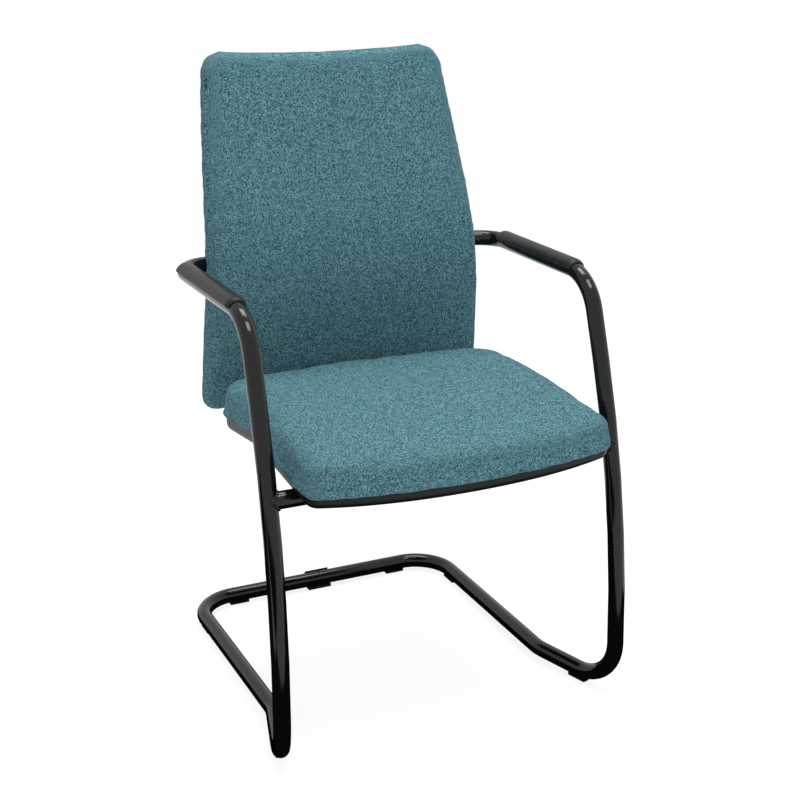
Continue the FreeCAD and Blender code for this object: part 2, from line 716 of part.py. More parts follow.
LINK_TOP_AT_BAR = SEAT_BAR_Z + TUBE_R + PUSH + size("link_thickness")
SEAT_BASE = LINK_TOP_AT_BAR - base_corner(LINK_OUTER_X) + (
    seat_slopes("base", LINK_OUTER_X)[0] * (CREST_Y - SEAT_BAR_Y))


def base_height(x, y):
    """Height of the seat's underside on its straight slopes."""
    front, rear = seat_slopes("base", x)
    slope = front if y < CREST_Y else rear
    return SEAT_BASE + base_corner(x) - slope * abs(y - CREST_Y)


def crested(corner_z, slopes, radius, y_front, y_rear):
    front, rear = slopes
    return (
        (y_front, corner_z - front * (CREST_Y - y_front)),
        (CREST_Y, corner_z),
        (y_rear, corner_z - rear * (y_rear - CREST_Y)),
    ), radius


def base_face(x, lift, y_front, y_rear):
    return crested(
        SEAT_BASE + base_corner(x) + lift, seat_slopes("base", x), size("seat_base_radius"), y_front, y_rear)


def top_face(x, y_front, y_rear):
    radius = size("seat_top_radius")
    slopes = seat_slopes("top", x)
    rise = between(0, size("seat_top_side_rise"), x, SEAT_HALF)
    corner = SEAT_BASE + size("seat_thickness") + rise + crest_peak(radius, *slopes)
    return crested(corner, slopes, radius, y_front, y_rear)


# The backrest's front face, from its place on the back bar

TUCK = math.radians(size("back_tuck"))
BACK_LEAN = math.radians(size("back_lean"))
LUMBAR_R = size("lumbar_radius")
LUMBAR_Z = size("lumbar_height")
BOARD_REAR = size("back_foam") + size("back_board_thickness")
BOARD_REAR_AT_BAR = BACK_BAR_Y - TUBE_R - size("spacer_length")


def lumbar_shift(height):
    """How far the front face lies behind its foremost point, on the middle line."""
    low = LUMBAR_Z - LUMBAR_R * math.sin(TUCK)
    high = LUMBAR_Z + LUMBAR_R * math.sin(BACK_LEAN)
    inside = min(max(height, low), high)
    bend = LUMBAR_R - math.sqrt(LUMBAR_R ** 2 - (inside - LUMBAR_Z) ** 2)
    slope = math.tan(TUCK) if height < low else math.tan(BACK_LEAN)
    return bend + slope * abs(height - inside)


LUMBAR_Y = BOARD_REAR_AT_BAR - BOARD_REAR - lumbar_shift(ARM_Z)
LUMBAR_CORNER_R = LUMBAR_R / math.cos((BACK_LEAN + TUCK) / 2)
LUMBAR_CORNER = (
    LUMBAR_Y + LUMBAR_R - LUMBAR_CORNER_R * math.cos((BACK_LEAN - TUCK) / 2),
    LUMBAR_Z + LUMBAR_CORNER_R * math.sin((BACK_LEAN - TUCK) / 2),
)


def back_sweep(x, depth):
    """How far a layer of the backrest comes forward at x. Depth is from its front face."""
    share = depth / size("back_thickness")
    bend = 1 / size("back_front_radius")
    bend += share * (1 / size("back_rear_radius") - bend)
    return bend * x ** 2 / 2


def back_face_y(x, height, depth):
    return LUMBAR_Y + lumbar_shift(height) + depth - back_sweep(x, depth)


def back_face(x, depth):
    corner_y = LUMBAR_CORNER[0] + depth - back_sweep(x, depth)
    corner_z = LUMBAR_CORNER[1]
    low = size("back_bottom") - size("back_thickness")
    high = size("back_top") + size("back_thickness")
    return (
        (corner_y + math.tan(TUCK) * (corner_z - low), low),
        (corner_y, corner_z),
        (corner_y + math.tan(BACK_LEAN) * (high - corner_z), high),
    ), LUMBAR_R


# Plan outline of the seat: bowed front and rear, straight sides, round corners

SEAT_TOP_AT_REAR = SEAT_BASE + size("seat_thickness")
SEAT_FRONT = size("seat_front_y")
SEAT_REAR = back_face_y(0, SEAT_TOP_AT_REAR, 0) - size("seat_back_gap")


def seat_corner(bow, corner, edge_y, sense):
    """Centres of the bow and of the corner arc. Sense is -1 in front and 1 behind."""
    bow_y = edge_y - sense * bow
    reach = math.sqrt((bow - corner) ** 2 - (SEAT_HALF - corner) ** 2)
    return Vector(0, bow_y, 0), Vector(SEAT_HALF - corner, bow_y + sense * reach, 0)


def seat_prism(name, inset):
    edges = []
    joints = []
    for bow, corner, edge_y, sense in (
        (size("seat_front_radius"), size("seat_front_corner"), SEAT_FRONT, -1),
        (size("seat_rear_radius"), size("seat_rear_corner"), SEAT_REAR, 1),
    ):
        bow_centre, corner_centre = seat_corner(bow, corner, edge_y, sense)
        ray = (corner_centre - bow_centre).normalize()
        tangent = corner_centre + ray * (corner - inset)
        side_point = Vector(SEAT_HALF - inset, corner_centre.y, 0)
        half_ray = (ray + ACROSS).normalize()
        middle = corner_centre + half_ray * (corner - inset)
        for side in (1, -1):
            flip = Vector(side, 1, 1)
            points = [Vector(p.x * flip.x, p.y, 0) for p in (tangent, middle, side_point)]
            edges.append(Part.Arc(*points).toShape())
        edges.append(Part.Arc(
            Vector(-tangent.x, tangent.y, 0), Vector(0, edge_y - sense * inset, 0), tangent).toShape())
        joints.append(side_point)
    for side in (1, -1):
        ends = [Vector(side * joint.x, joint.y, 0) for joint in joints]
        edges.append(Part.LineSegment(*ends).toShape())
    outline = Part.Wire(Part.sortEdges(edges)[0])
    outline.translate(UP * (SEAT_BAR_Z - size("tube_diameter")))
    return feature(name, Part.Face(outline).extrude(UP * (4 * size("seat_thickness"))))


def seat_layer(name, inset, lower, upper):
    """Part of the seat inside its outline, between two faces given as functions of x."""
    room = size("seat_board_inset")
    ends = (SEAT_FRONT - room, SEAT_REAR + room)
    block = layer(name + "_layer", SEAT_HALF + room, lambda x: (lower(x, *ends), upper(x, *ends)))
    return boolean("Common", name, block, seat_prism(name + "_outline", inset))


def long_edges(shape, wanted):
    """Numbers of the edges of a shape whose middle satisfies a test."""
    numbers = []
    for number, edge in enumerate(shape.Edges, start=1):
        middle = edge.valueAt((edge.FirstParameter + edge.LastParameter) / 2)
        if wanted(middle, edge):
            numbers.append(number)
    return numbers


def rounded(name, base, edges):
    """Fillet with a radius for each numbered edge."""
    result = doc.addObject("Part::Fillet", name)
    result.Base = base
    result.Edges = [(number, radius, radius) for number, radius in edges]
    return result


def upright(edge):
    return all(
        abs(edge.tangentAt(parameter).z) > 0.9
        for parameter in (edge.FirstParameter, edge.LastParameter))


# Connecting bars: welded on the seat bar, bolted under the seat and behind the back board

HALF_LINK = size("link_thickness") / 2
link_slopes = seat_slopes("base", LINK_OUTER_X)
link_depth = BOARD_REAR + HALF_LINK
tuck_slope = math.tan(TUCK)
crest_z = SEAT_BASE + base_corner(LINK_OUTER_X) - HALF_LINK
back_line_y = LUMBAR_CORNER[0] + link_depth - back_sweep(LINK_OUTER_X, BOARD_REAR)
turn_y = (back_line_y + tuck_slope * (LUMBAR_CORNER[1] - crest_z - link_slopes[1] * CREST_Y)) / (
    1 - tuck_slope * link_slopes[1])
link_top_z = size("back_bottom") + size("link_rise")
link_front_y = SEAT_BAR_Y - size("link_nose")
LINK_CORNERS = [Vector(size("link_x"), y, z) for y, z in (
    (link_front_y, crest_z - link_slopes[0] * (CREST_Y - link_front_y)),
    (CREST_Y, crest_z),
    (turn_y, crest_z - link_slopes[1] * (turn_y - CREST_Y)),
    (back_line_y + tuck_slope * (LUMBAR_CORNER[1] - link_top_z), link_top_z),
)]
link_path = feature("link_path", Part.Wire(path_edges(
    LINK_CORNERS, [size("seat_base_radius"), size("link_bend")])))


def link_section(name, spare):
    """Flat section at the front end of the connecting bar, larger all round by spare."""
    heading = (LINK_CORNERS[1] - LINK_CORNERS[0]).normalize()
    normal = ACROSS.cross(heading).normalize()
    wide = ACROSS * (size("link_width") / 2 + spare)
    thick = normal * (HALF_LINK + spare)
    corners = [
        LINK_CORNERS[0] + wide * across + thick * up for across, up in ((-1, -1), (1, -1), (1, 1), (-1, 1))
    ]
    return feature(name, Part.makePolygon(corners + corners[:1]))


link_bar = swept("link_bar", link_path, link_section("link_flat", 0))
link_clear = swept("link_clear", link_path, link_section("link_flat_clear", GAP))
doc.recompute()
link_clear_other = mirrored("link_clear_other", link_clear)

# Bolts from the connecting bars into tee nuts in the two boards

seat_bolt = socket_bolt("seat_bolt", "link_thickness + seat_board_thickness - nut_flange_thickness")
back_bolt = socket_bolt("back_bolt", "link_thickness + back_board_thickness - nut_flange_thickness")
doc.recompute()


def seat_bolt_axis(y):
    front, rear = link_slopes
    along = Vector(0, 1, front if y < CREST_Y else -rear).normalize()
    normal = ACROSS.cross(along).normalize()
    point = Vector(size("link_x"), y, base_height(LINK_OUTER_X, y) - HALF_LINK)
    return point, normal


def back_bolt_axis(z):
    normal = Vector(0, -math.cos(TUCK), -math.sin(TUCK))
    point = Vector(size("link_x"), back_line_y + tuck_slope * (LUMBAR_CORNER[1] - z), z)
    return point, normal


first_seat_bolt = SEAT_BAR_Y + size("link_seat_bolt_front")
first_back_bolt = size("back_bottom") + size("link_back_bolt_low")
seat_axes = [seat_bolt_axis(first_seat_bolt + step * size("link_seat_bolt_pitch")) for step in (0, 1)]
back_axes = [back_bolt_axis(first_back_bolt + step * size("link_back_bolt_pitch")) for step in (0, 1)]
seat_nut_reach = HALF_LINK + size("seat_board_thickness") - size("nut_flange_thickness") - (
    base_height(LINK_OUTER_X, CREST_Y) - base_height(size("link_x"), CREST_Y))
back_nut_reach = HALF_LINK + size("back_board_thickness") - size("nut_flange_thickness")
link_holes = [
    cylinder(f"link_hole_{number}", "bolt_diameter / 2 + fit_gap", "4 * link_thickness",
             point - normal * (2 * size("link_thickness")), normal)
    for number, (point, normal) in enumerate(seat_axes + back_axes, start=1)
]
link_left = node("connecting_bar_left", cut("connecting_bar_left", link_bar, *link_holes))
node("connecting_bar_right", mirrored("connecting_bar_right", link_left))


def both_sides(axes):
    """The axes and their mirror images."""
    return [
        (Vector(side * point.x, point.y, point.z), Vector(side * normal.x, normal.y, normal.z))
        for point, normal in axes for _, side in SIDES
    ]


head_reach = HALF_LINK + size("bolt_head_height")
copies("seat_bolts", seat_bolt, [
    aimed(point - normal * head_reach, normal) for point, normal in both_sides(seat_axes)])
copies("back_bolts", back_bolt, [
    aimed(point - normal * head_reach, normal) for point, normal in both_sides(back_axes)])
seat_nuts = [aimed(point + normal * seat_nut_reach, normal) for point, normal in both_sides(seat_axes)]
copies("seat_tee_nuts", tee_nut, seat_nuts)
seat_pockets = [
    nut_pocket(f"seat_pocket_{number}", point + normal * seat_nut_reach, normal)
    for number, (point, normal) in enumerate(both_sides(seat_axes), start=1)
]

# Seat board, cushion and under-cover

BOARD_T = size("seat_board_thickness")
board_block = seat_layer(
    "seat_board_block", size("seat_board_inset"),
    lambda x, *ends: base_face(x, 0, *ends), lambda x, *ends: base_face(x, BOARD_T, *ends))
pocket_block = seat_layer(
    "seat_pocket_block", size("seat_board_inset") - GAP,
    lambda x, *ends: base_face(x, -BOARD_T, *ends), lambda x, *ends: base_face(x, BOARD_T, *ends))
seat_block = seat_layer(
    "seat_block", 0, lambda x, *ends: base_face(x, 0, *ends), lambda x, *ends: top_face(x, *ends))
doc.recompute()
seat_shape = seat_block.Shape


def seat_edge_kind(middle, edge):
    middle_height = base_height(middle.x, middle.y) + size("seat_thickness") / 2
    if upright(edge):
        return "corner"
    rim = abs(middle.x) > SEAT_HALF - size("seat_front_corner") or not (
        SEAT_FRONT + size("seat_board_inset") * 2 < middle.y < SEAT_REAR - size("seat_board_inset"))
    return ("top" if middle.z > middle_height else "base") if rim else "inside"


seat_edges = [
    (number, size(radius)) for kind, radius in (("top", "seat_top_round"), ("base", "seat_base_round"))
    for number in long_edges(seat_shape, lambda middle, edge: seat_edge_kind(middle, edge) == kind)
]
seat_soft = rounded("seat_soft", seat_block, seat_edges)
node("seat_cushion", cut("seat_cushion", seat_soft, pocket_block, link_clear, link_clear_other))


def cover_depth(x):
    return between(size("cover_depth"), size("cover_side_depth"), x, SEAT_HALF)


def cover_face(x, lift, y_front, y_rear):
    front, rear = seat_slopes("base", x)
    shallow = math.tan(math.radians(size("cover_front_slope"))) - seat_slopes("base", 0)[0]
    corner = SEAT_BASE + base_corner(x) - cover_depth(x) + lift
    return crested(corner, (front + shallow, rear), size("seat_base_radius"), y_front, y_rear)


def cover_rounded(name, block, radius):
    """A layer of the under-cover with its lower rim rounded."""
    doc.recompute()
    lower_rim = long_edges(block.Shape, lambda middle, edge: (
        seat_edge_kind(middle, edge) == "base"
        and middle.z < base_height(middle.x, middle.y) - size("cover_side_depth") / 2))
    return rounded(name, block, [(number, radius) for number in lower_rim])


cover_block = seat_layer(
    "cover_block", size("cover_inset"),
    lambda x, *ends: cover_face(x, 0, *ends), lambda x, *ends: base_face(x, 0, *ends))
cover_space = seat_layer(
    "cover_space", size("cover_inset") + size("cover_wall"),
    lambda x, *ends: cover_face(x, size("cover_wall"), *ends),
    lambda x, *ends: base_face(x, BOARD_T, *ends))
cover_outside = cover_rounded("cover_outside", cover_block, size("cover_round"))
cover_inside = cover_rounded("cover_inside", cover_space, size("cover_round") - size("cover_wall"))
boss_places = [
    Vector(side * size("cover_boss_x"), size(alias), 0)
    for alias in ("cover_boss_front_y", "cover_boss_rear_y") for _, side in SIDES
]
bosses = []
boss_holes = []
screw_places = []
pilot_holes = []
for number, place in enumerate(boss_places, start=1):
    under = base_height(place.x, place.y)
    low = Vector(place.x, place.y, under - size("cover_depth") - size("cover_wall"))
    column = cylinder(f"boss_column_{number}", "cover_boss_diameter / 2", "2 * cover_depth", low)
    bosses.append(boolean("Common", f"boss_{number}", column, cover_outside))
    head_seat = Vector(place.x, place.y, under - cover_depth(place.x) + size("screw_head_height"))
    head_space = head_seat - UP * size("cover_depth")
    boss_holes.append(cylinder(f"boss_hole_{number}", "screw_diameter / 2 + fit_gap", "2 * cover_depth", low))
    boss_holes.append(cylinder(
        f"boss_recess_{number}", "screw_head_diameter / 2 + fit_gap", "cover_depth + screw_head_height",
        head_space))
    screw_places.append(aimed(head_seat, UP))
    pilot_holes.append(cylinder(
        f"pilot_hole_{number}", "screw_diameter / 2 + push_gap",
        "tube_diameter / 2 + screw_head_height + fit_gap", head_seat))
node("seat_board", cut(
    "seat_board", board_block, link_clear, link_clear_other, *seat_pockets, *pilot_holes))
shell = cut("cover_shell", cover_outside, cover_inside)
cover_whole = joined("cover_whole", [shell] + bosses)
node("seat_under_cover", cut(
    "seat_under_cover", cover_whole, bar_clear, link_clear, link_clear_other, *boss_holes))
copies("under_cover_screws", small_screw, screw_places)

# Backrest outline: sides and top as arcs, corners rounded afterwards


def back_prism(name, inset):
    low = size("back_bottom") + inset
    high = size("back_top") - inset
    middle = (size("back_bottom") + size("back_top")) / 2
    bottom_half = size("back_bottom_half_width") - inset
    middle_half = size("back_middle_half_width") - inset
    top_half = size("back_top_half_width") - inset
    corners = [Vector(-bottom_half, 0, low), Vector(bottom_half, 0, low)]
    tops = [Vector(top_half, 0, high), Vector(-top_half, 0, high)]
    outline = Part.Wire([
        Part.LineSegment(*corners).toShape(),
        Part.Arc(corners[1], Vector(middle_half, 0, middle), tops[0]).toShape(),
        Part.Arc(tops[0], Vector(0, 0, high - size("back_top_dip")), tops[1]).toShape(),
        Part.Arc(tops[1], Vector(-middle_half, 0, middle), corners[0]).toShape(),
    ])
    block = feature(name + "_block", Part.Face(outline).extrude(BACKWARD * REACH))
    block.Placement = Placement(BACKWARD * (-REACH / 2), Rotation())
    fillet = doc.addObject("Part::Fillet", name)
    fillet.Base = block
    fillet.Edges = [
        (number, radius, radius)
        for number, edge in enumerate(block.Shape.Edges, start=1)
        if edge.Length > REACH / 2
        for radius in [size("back_top_corner" if edge.Vertexes[0].Z > middle else "back_bottom_corner") - inset]
    ]
    return fillet


def back_layer(name, inset, first_depth, last_depth):
    """Part of the backrest inside its outline, between two depths behind its front face."""
    half = size("back_bottom_half_width") + size("back_thickness") / 2
    block = layer(name + "_layer", half, lambda x: (back_face(x, first_depth), back_face(x, last_depth)))
    return boolean("Common", name, block, back_prism(name + "_outline", inset))


BACK_T = size("back_thickness")
back_block = back_layer("back_block", 0, 0, BACK_T)
back_board_block = back_layer("back_board_block", size("back_board_inset"), size("back_foam"), BOARD_REAR)
back_pocket = back_layer(
    "back_pocket", size("back_board_inset") - GAP, size("back_foam"), BACK_T + size("back_foam"))
rear_block = back_layer("back_rear_block", size("back_board_inset"), BOARD_REAR, BACK_T)
doc.recompute()
back_shape = back_block.Shape


def back_edge_kind(middle, edge):
    """Which rim of the backrest an edge belongs to."""
    tangent = edge.tangentAt((edge.FirstParameter + edge.LastParameter) / 2)
    if abs(tangent.y) > 0.9:
        return "corner"
    margin = size("back_board_inset")
    if abs(middle.x) < margin and size("back_bottom") + margin < middle.z < size("back_top") - 2 * margin:
        return "inside"
    return "front" if middle.y < back_face_y(middle.x, middle.z, BACK_T / 2) else "rear"


back_edges = [
    (number, size(radius)) for kind, radius in (("front", "back_front_round"), ("rear", "back_rear_round"))
    for number in long_edges(back_shape, lambda middle, edge: back_edge_kind(middle, edge) == kind)
]
back_soft = rounded("back_soft", back_block, back_edges)

# Bolts through the back bar, with a spacer on each

seam_groove = cylinder(
    "seam_groove", "tube_diameter / 2 + back_bar_groove_gap", "2 * seam_gap",
    Vector(-size("seam_gap"), BACK_BAR_Y, ARM_Z), ACROSS)
grooves = [groove, groove_other, seam_groove]
tube_bolt = socket_bolt("tube_bolt", "tube_diameter + spacer_length + back_board_thickness")
FORWARD = BACKWARD * -1
tube_axes = [Vector(side * size("tube_bolt_x"), BACK_BAR_Y, ARM_Z) for _, side in SIDES]
doc.recompute()
copies("back_bar_bolts", tube_bolt, [
    aimed(point + BACKWARD * (TUBE_R + size("bolt_head_height")), FORWARD) for point in tube_axes])
tube_nut_seat = back_face_y(size("tube_bolt_x"), ARM_Z, size("back_foam")) + size("nut_flange_thickness")
tube_nuts = [(Vector(point.x, tube_nut_seat, ARM_Z), FORWARD) for point in tube_axes]
link_nuts = [(point + normal * back_nut_reach, normal) for point, normal in both_sides(back_axes)]
copies("back_tee_nuts", tee_nut, [aimed(point, normal) for point, normal in tube_nuts + link_nuts])
back_pockets = [
    nut_pocket(f"back_pocket_{number}", point, normal)
    for number, (point, normal) in enumerate(tube_nuts + link_nuts, start=1)
]
back_board = node("back_board", cut(
    "back_board", back_board_block, link_clear, link_clear_other, *grooves, *back_pockets))

spacer_rods = [
    cylinder(f"spacer_rod_{number}", "spacer_diameter / 2", "tube_diameter", point, FORWARD)
    for number, point in enumerate(tube_axes, start=1)
]
spacer_spaces = [
    cylinder(f"spacer_space_{number}", "spacer_diameter / 2 + fit_gap", "tube_diameter", point, FORWARD)
    for number, point in enumerate(tube_axes, start=1)
]
spacer_holes = [
    cylinder(f"spacer_hole_{number}", "bolt_diameter / 2 + fit_gap", "2 * tube_diameter", point, FORWARD)
    for number, point in enumerate(tube_axes, start=1)
]
front_half = doc.addObject("Part::Box", "spacer_front_half")
front_half.setExpression("Length", cells("4 * tube_bolt_x"))
front_half.setExpression("Width", cells("2 * tube_diameter"))
front_half.setExpression("Height", cells("2 * tube_diameter"))
front_half.Placement = Placement(Vector(
    -2 * size("tube_bolt_x"), back_face_y(size("tube_bolt_x"), ARM_Z, BOARD_REAR - 1) - 4 * TUBE_R,
    ARM_Z - 2 * TUBE_R), Rotation())
node("back_spacers", cut(
    "back_spacers", joined("spacer_pair", spacer_rods),
    front_half, back_board_block, weld_clearance, weld_clearance_other, *spacer_holes))

# The back cushion wraps the board. The rear cover fills the recess behind the board.

head_spaces = [
    cylinder(f"head_space_{number}", "bolt_head_diameter / 2 + fit_gap",
             "link_thickness / 2 + bolt_head_height + fit_gap", point, normal * -1)
    for number, (point, normal) in enumerate(both_sides(back_axes), start=1)
]
notches = []
for label, side in SIDES:
    notch = doc.addObject("Part::Box", f"back_notch_{label}")
    notch.setExpression("Length", cells("link_width + 2 * fit_gap"))
    notch.setExpression("Width", cells("4 * back_thickness"))
    notch.setExpression("Height", cells("2 * back_thickness"))
    notch.Placement = Placement(Vector(
        side * size("link_x") - size("link_width") / 2 - GAP,
        back_line_y - 2 * BACK_T, LINK_CORNERS[2].z - 2 * BACK_T), Rotation())
    notches.append(notch)
node("back_cushion", cut(
    "back_cushion", back_soft, back_pocket, link_clear, link_clear_other, *grooves,
    *back_pockets, *notches))
node("back_rear_cover", cut(
    "back_rear_cover", rear_block, link_clear, link_clear_other, *grooves,
    *spacer_spaces, *head_spaces))

# Check the whole document, then write one file for each piece

doc.recompute()
broken = [thing.Name for thing in doc.Objects if {"Invalid", "Error"} & set(thing.State)]
if broken:
    raise RuntimeError("objects that did not compute: " + ", ".join(broken))
for name, thing in PARTS.items():
    if thing.Shape.isNull() or not thing.Shape.isValid() or not thing.Shape.Solids:
        raise RuntimeError("no valid solid: " + name)
os.makedirs("parts", exist_ok=True)
for name, thing in PARTS.items():
    thing.Shape.exportStep(f"parts/{name}.step")
    print(name, len(thing.Shape.Solids), "solids", round(thing.Shape.Volume), "mm3")
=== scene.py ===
# %% [markdown]
# # A sled base visitor chair
#
# This lesson dresses a finished chair model: a bent steel tube that runs from floor to arm in one
# piece, a padded seat and backrest in teal melange cloth, and black plastic pads on the arms.
# The construction model gives every place and size, and the lesson makes the surfaces and finishes.

# %% Load the construction model
import json
import math

import bpy
import numpy as np
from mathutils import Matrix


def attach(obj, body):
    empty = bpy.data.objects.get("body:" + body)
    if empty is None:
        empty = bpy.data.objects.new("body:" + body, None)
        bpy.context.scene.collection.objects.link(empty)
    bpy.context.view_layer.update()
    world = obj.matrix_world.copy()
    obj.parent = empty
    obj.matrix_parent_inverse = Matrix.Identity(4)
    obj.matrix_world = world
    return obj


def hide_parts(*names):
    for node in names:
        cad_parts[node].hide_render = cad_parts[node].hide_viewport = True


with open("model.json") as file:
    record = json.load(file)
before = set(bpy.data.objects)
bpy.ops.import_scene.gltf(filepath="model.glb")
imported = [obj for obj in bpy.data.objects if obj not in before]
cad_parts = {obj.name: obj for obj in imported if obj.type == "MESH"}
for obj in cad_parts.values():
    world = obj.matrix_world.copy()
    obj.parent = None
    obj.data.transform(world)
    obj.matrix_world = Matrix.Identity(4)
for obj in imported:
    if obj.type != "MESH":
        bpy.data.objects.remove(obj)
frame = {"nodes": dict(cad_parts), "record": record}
nodes = frame["nodes"]
scene = bpy.context.scene
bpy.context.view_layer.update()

# %% [markdown]
# ## The camera
#
# The picture was taken with a short telephoto lens, from in front of the chair on the sitter's
# right, a little above the back's upper edge. The camera is placed by its real distance and
# turned by two angles, so the perspective of the near foot and the far arm comes out right.

# %% Place the camera
CAMERA_PLACE = (-0.8487, -1.8764, 1.1381)
CAMERA_YAW = math.radians(-24.97)
CAMERA_DROP = math.radians(18.66)
LENS = 64.36

camera_data = bpy.data.cameras.new("photo_camera")
camera_data.sensor_width = 36
camera_data.lens = LENS
camera = bpy.data.objects.new("photo_camera", camera_data)
camera.rotation_euler = (math.pi / 2 - CAMERA_DROP, 0, CAMERA_YAW)
camera.location = CAMERA_PLACE
scene.collection.objects.link(camera)
scene.camera = camera
print("camera", CAMERA_PLACE, "lens", LENS)

# %% [markdown]
# ## Helpers for surfaces
#
# Most pieces here are a grid of points worked out by a formula. One helper turns such a grid into
# a mesh. A grid can be closed like a ring in either direction, and its ends can be capped.


# %% Turn a grid of points into a mesh piece
def grid_faces(rows, columns, wrap_columns=True):
    """Quads between neighbours of a rows by columns grid, numbered row by row."""
    row = np.arange(rows - 1)[:, None]
    column = np.arange(columns if wrap_columns else columns - 1)[None, :]
    following = (column + 1) % columns
    corners = np.stack(np.broadcast_arrays(
        row * columns + column, row * columns + following,
        (row + 1) * columns + following, (row + 1) * columns + column), axis=-1)
    return corners.reshape(-1, 4)


def make_piece(name, points, faces, material, smooth_angle=40):
    """A mesh object from an array of points and a list of faces, smooth except at sharp edges."""
    mesh = bpy.data.meshes.new(name)
    mesh.from_pydata(points.reshape(-1, 3).tolist(), [], [list(map(int, face)) for face in faces])
    mesh.validate()
    mesh.shade_smooth()
    mesh.set_sharp_from_angle(angle=math.radians(smooth_angle))
    mesh.materials.append(material)
    piece = bpy.data.objects.new(name, mesh)
    scene.collection.objects.link(piece)
    return piece


# %% Sweep a profile along a path
def bent_path(corners, radii, step=math.radians(3)):
    """Points along straight runs joined by tangent arcs.

    At a corner with half opening angle h, the arc of radius r starts r / tan h before the corner
    and its centre lies r / sin h from the corner, on the line that halves the opening."""
    corners = [np.array(corner, float) for corner in corners]
    runs = [corners[0][None, :]]
    for before, corner, after, radius in zip(corners, corners[1:], corners[2:], radii):
        back = (before - corner) / np.linalg.norm(before - corner)
        on = (after - corner) / np.linalg.norm(after - corner)
        half = math.acos(float(np.clip(back @ on, -1, 1))) / 2
        inward = (back + on) / np.linalg.norm(back + on)
        centre = corner + inward * radius / math.sin(half)
        first = corner + back * radius / math.tan(half)
        turn = math.pi - 2 * half
        angle = np.linspace(0, turn, max(int(turn / step) + 1, 4))[:, None]
        start = (first - centre) / radius
        ahead = -back
        runs.append(centre + radius * (np.cos(angle) * start + np.sin(angle) * ahead))
    runs.append(corners[-1][None, :])
    return np.concatenate(runs)


def path_frames(path, lean=(1.0, 1.0, 1.0)):
    """Unit tangent, normal and side at each point of a path.

    The tangent is the central difference. The normal is a fixed leaning vector with its part
    along the tangent taken away, so the frames never spin."""
    tangent = np.gradient(path, axis=0)
    tangent /= np.linalg.norm(tangent, axis=1, keepdims=True)
    lean = np.array(lean) / np.linalg.norm(lean)
    normal = lean - (tangent @ lean)[:, None] * tangent
    normal /= np.linalg.norm(normal, axis=1, keepdims=True)
    return tangent, normal, np.cross(tangent, normal)


def tube_piece(name, path, radius, material, sides=48, end_bevel=0.0006):
    """A round bar along a path: each ring is path + r (cos a normal + sin a side).

    Two smaller rings at each end round its edge, and a last point closes it."""
    tangent, normal, side = path_frames(path)
    angle = np.linspace(0, 2 * math.pi, sides, endpoint=False)
    turn = angle[None, :, None]
    circle = np.cos(turn) * normal[:, None, :] + np.sin(turn) * side[:, None, :]
    rings = path[:, None, :] + radius * circle
    first = path[0] + (radius - end_bevel) * circle[0]
    last = path[-1] + (radius - end_bevel) * circle[-1]
    rings[0] += tangent[0] * end_bevel
    rings[-1] -= tangent[-1] * end_bevel
    rings = np.concatenate([first[None], rings, last[None]])
    points = np.concatenate([rings.reshape(-1, 3), path[:1], path[-1:]])
    faces = list(grid_faces(len(rings), sides))
    hub = len(rings) * sides
    around = np.arange(sides)
    faces += [(hub, b, a) for a, b in zip(around, np.roll(around, -1))]
    tail = (len(rings) - 1) * sides
    faces += [(hub + 1, tail + a, tail + b) for a, b in zip(around, np.roll(around, -1))]
    return make_piece(name, points, faces, material)


# %% [markdown]
# ## Finishes
#
# Five finishes cover the chair. Each is a small network on the surface shader that reads Object
# coordinates, so a pattern has its real size everywhere and stays with its piece.


# %% Start a finish
def new_finish(name, color, roughness, ior=1.45):
    """A material with one surface shader. Returns the material, its node tree and the shader."""
    finish = bpy.data.materials.new(name)
    finish.use_nodes = True
    tree = finish.node_tree
    shader = tree.nodes["Principled BSDF"]
    shader.inputs["Base Color"].default_value = (*color, 1)
    shader.inputs["Roughness"].default_value = roughness
    shader.inputs["IOR"].default_value = ior
    finish.diffuse_color = (*color, 1)
    return finish, tree, shader


def object_pattern(tree, kind, scale, **settings):
    """A texture node of a kind on Object coordinates, with a scale in cycles per metre."""
    coordinates = tree.nodes.new("ShaderNodeTexCoord")
    texture = tree.nodes.new(kind)
    texture.inputs["Scale"].default_value = scale
    for name, value in settings.items():
        texture.inputs[name.replace("_", " ").title()].default_value = value
    tree.links.new(coordinates.outputs["Object"], texture.inputs["Vector"])
    return texture


def add_bump(tree, shader, height, distance, strength=1.0):
    """Fine relief: distance is the real height of the relief in metres."""
    bump = tree.nodes.new("ShaderNodeBump")
    bump.inputs["Distance"].default_value = distance
    bump.inputs["Strength"].default_value = strength
    tree.links.new(height, bump.inputs["Height"])
    tree.links.new(bump.outputs["Normal"], shader.inputs["Normal"])


def between(tree, share, low, high):
    """Map a 0 to 1 value onto low to high."""
    spread = tree.nodes.new("ShaderNodeMapRange")
    spread.inputs["To Min"].default_value = low
    spread.inputs["To Max"].default_value = high
    tree.links.new(share, spread.inputs["Value"])
    return spread.outputs["Result"]


# %% [markdown]
# ### Gloss black powder coat
#
# The tube is powder coated: deep black, with a skin that flows out almost flat. A faint, slow
# wave in the skin makes the reflections of the lamps a little uneven.

# %% Gloss black powder coat
tube_black, tree, shader = new_finish(
    "gloss_black_powder_coat", (0.003, 0.003, 0.0032), roughness=0.12, ior=1.4)
skin = object_pattern(tree, "ShaderNodeTexNoise", scale=420, detail=2)
shade = between(tree, skin.outputs["Fac"], 0.07, 0.13)
tree.links.new(shade, shader.inputs["Roughness"])
add_bump(tree, shader, skin.outputs["Fac"], distance=0.00002)

# %% [markdown]
# ### Grained black plastic
#
# Arm pads, under-cover and glides are moulded with a fine leather-like grain, which scatters
# light softly, so the plastic shows no sharp reflections as the tube does.

